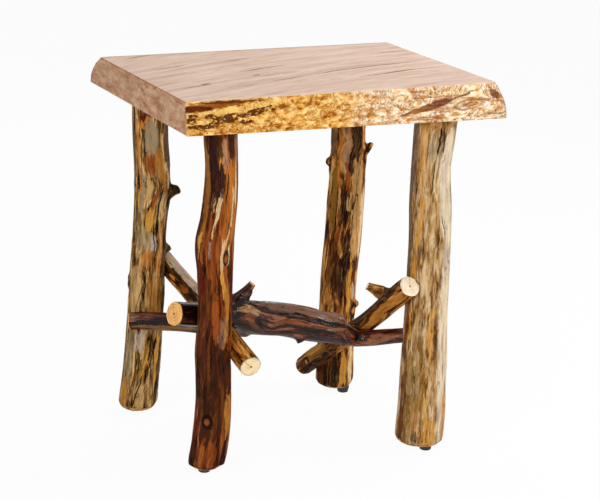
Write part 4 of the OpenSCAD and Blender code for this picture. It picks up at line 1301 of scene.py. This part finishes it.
# %% [markdown]
# ## Floor and light
# The photograph is a studio picture on white. A pale floor fills the whole view, and most of what the
# camera sees of it is its own glow, so that it reads as white yet keeps a trace of the table's shadow.
# Two wide, low softboxes on the right and in front do most of the lighting, one above lights the slab,
# and the narrow ones are there for their reflections: the tall strip draws a line of light down a leg,
# and the wide ones over the front and behind draw one along a lying log.

# %% Floor
def seen_directly(bench):
    """1 for rays from the camera, and for those that a gloss or a glass sends on."""
    kinds = ("Is Camera Ray", "Is Glossy Ray", "Is Transmission Ray")
    seen, glossy, through = [bench.node("ShaderNodeLightPath", {}, {}, kind) for kind in kinds]
    return bench.least(seen + glossy + through, 1.0)


# How much of what the camera sees of the floor is its glow. The rest takes light and shadow
floor_glow = 0.95


def floor_paint():
    material = bpy.data.materials.new("floor")
    bench = cleared_bench(material)
    matt = bench.node("ShaderNodeBsdfDiffuse", {}, {"Color": (0.8, 0.8, 0.8, 1)})
    glow = bench.node("ShaderNodeEmission", {}, {"Color": (1, 1, 1, 1), "Strength": 1.0})
    share = seen_directly(bench) * floor_glow
    mixed = bench.node("ShaderNodeMixShader", {}, {0: share, 1: matt, 2: glow})
    bench.node("ShaderNodeOutputMaterial", {}, {"Surface": mixed})
    return material


floor_half = 12.0
floor_mesh = bpy.data.meshes.new("floor")
corners = [(x * floor_half, y * floor_half, 0) for x, y in ((-1, -1), (1, -1), (1, 1), (-1, 1))]
floor_mesh.from_pydata(corners, [], [(0, 1, 2, 3)])
floor_mesh.materials.append(floor_paint())
floor = placed("floor", floor_mesh)
print("floor:", 2 * floor_half, "m wide")


# %% Lamps
def soft_lamp(name, place, target, width, height, power, tint):
    """A rectangular softbox that points at a target."""
    data = bpy.data.lights.new(name, "AREA")
    data.shape = "RECTANGLE"
    data.size = width
    data.size_y = height
    data.energy = power
    data.color = tint
    lamp = placed(name, data)
    lamp.location = place
    lamp.rotation_euler = (Vector(target) - Vector(place)).to_track_quat("-Z", "Y").to_euler()


# Each lamp's place, what it points at, its width and height, its power in watts and its tint
lamps = {
    "right": ((1.9, -0.55, 1.3), (0.1, 0, 0.35), 1.0, 0.4, 21, (1.0, 0.98, 0.96)),
    "above": ((0.7, 0.5, 2.0), (0.1, 0, 0.5), 1.4, 1.2, 12, (0.98, 0.98, 1.0)),
    "front": ((-2.1, -1.5, 1.1), (0, 0, 0.3), 1.3, 0.22, 27, (1.0, 0.98, 0.96)),
    "strip": ((0.95, -1.7, 0.7), (0.1, -0.1, 0.3), 0.05, 1.2, 6, (1.0, 1.0, 1.0)),
    "over the front": ((-0.4, -1.65, 1.75), (0, 0, 0.3), 1.1, 0.12, 7, (0.96, 0.98, 1.0)),
    "behind": ((1.0, 2.2, 0.5), (0, 0, 0.3), 1.4, 0.16, 3, (0.85, 0.92, 1.0))}
for title, lamp_facts in lamps.items():
    soft_lamp(title, *lamp_facts)
print("lamps:", ", ".join(lamps))

# %% The world
# How brightly the world lights the table, where 1 is the white that the camera sees
world_light = 0.4
world = bpy.data.worlds.new("studio")
world_bench = cleared_bench(world)
world_strength = seen_directly(world_bench) * (1 - world_light) + world_light
backdrop_look = {"Color": (1, 1, 1, 1), "Strength": world_strength}
backdrop = world_bench.node("ShaderNodeBackground", {}, backdrop_look)
world_bench.node("ShaderNodeOutputWorld", {}, {"Surface": backdrop})
bpy.context.scene.world = world
print("world light:", world_light)
bpy.context.scene.view_settings.view_transform = "Standard"
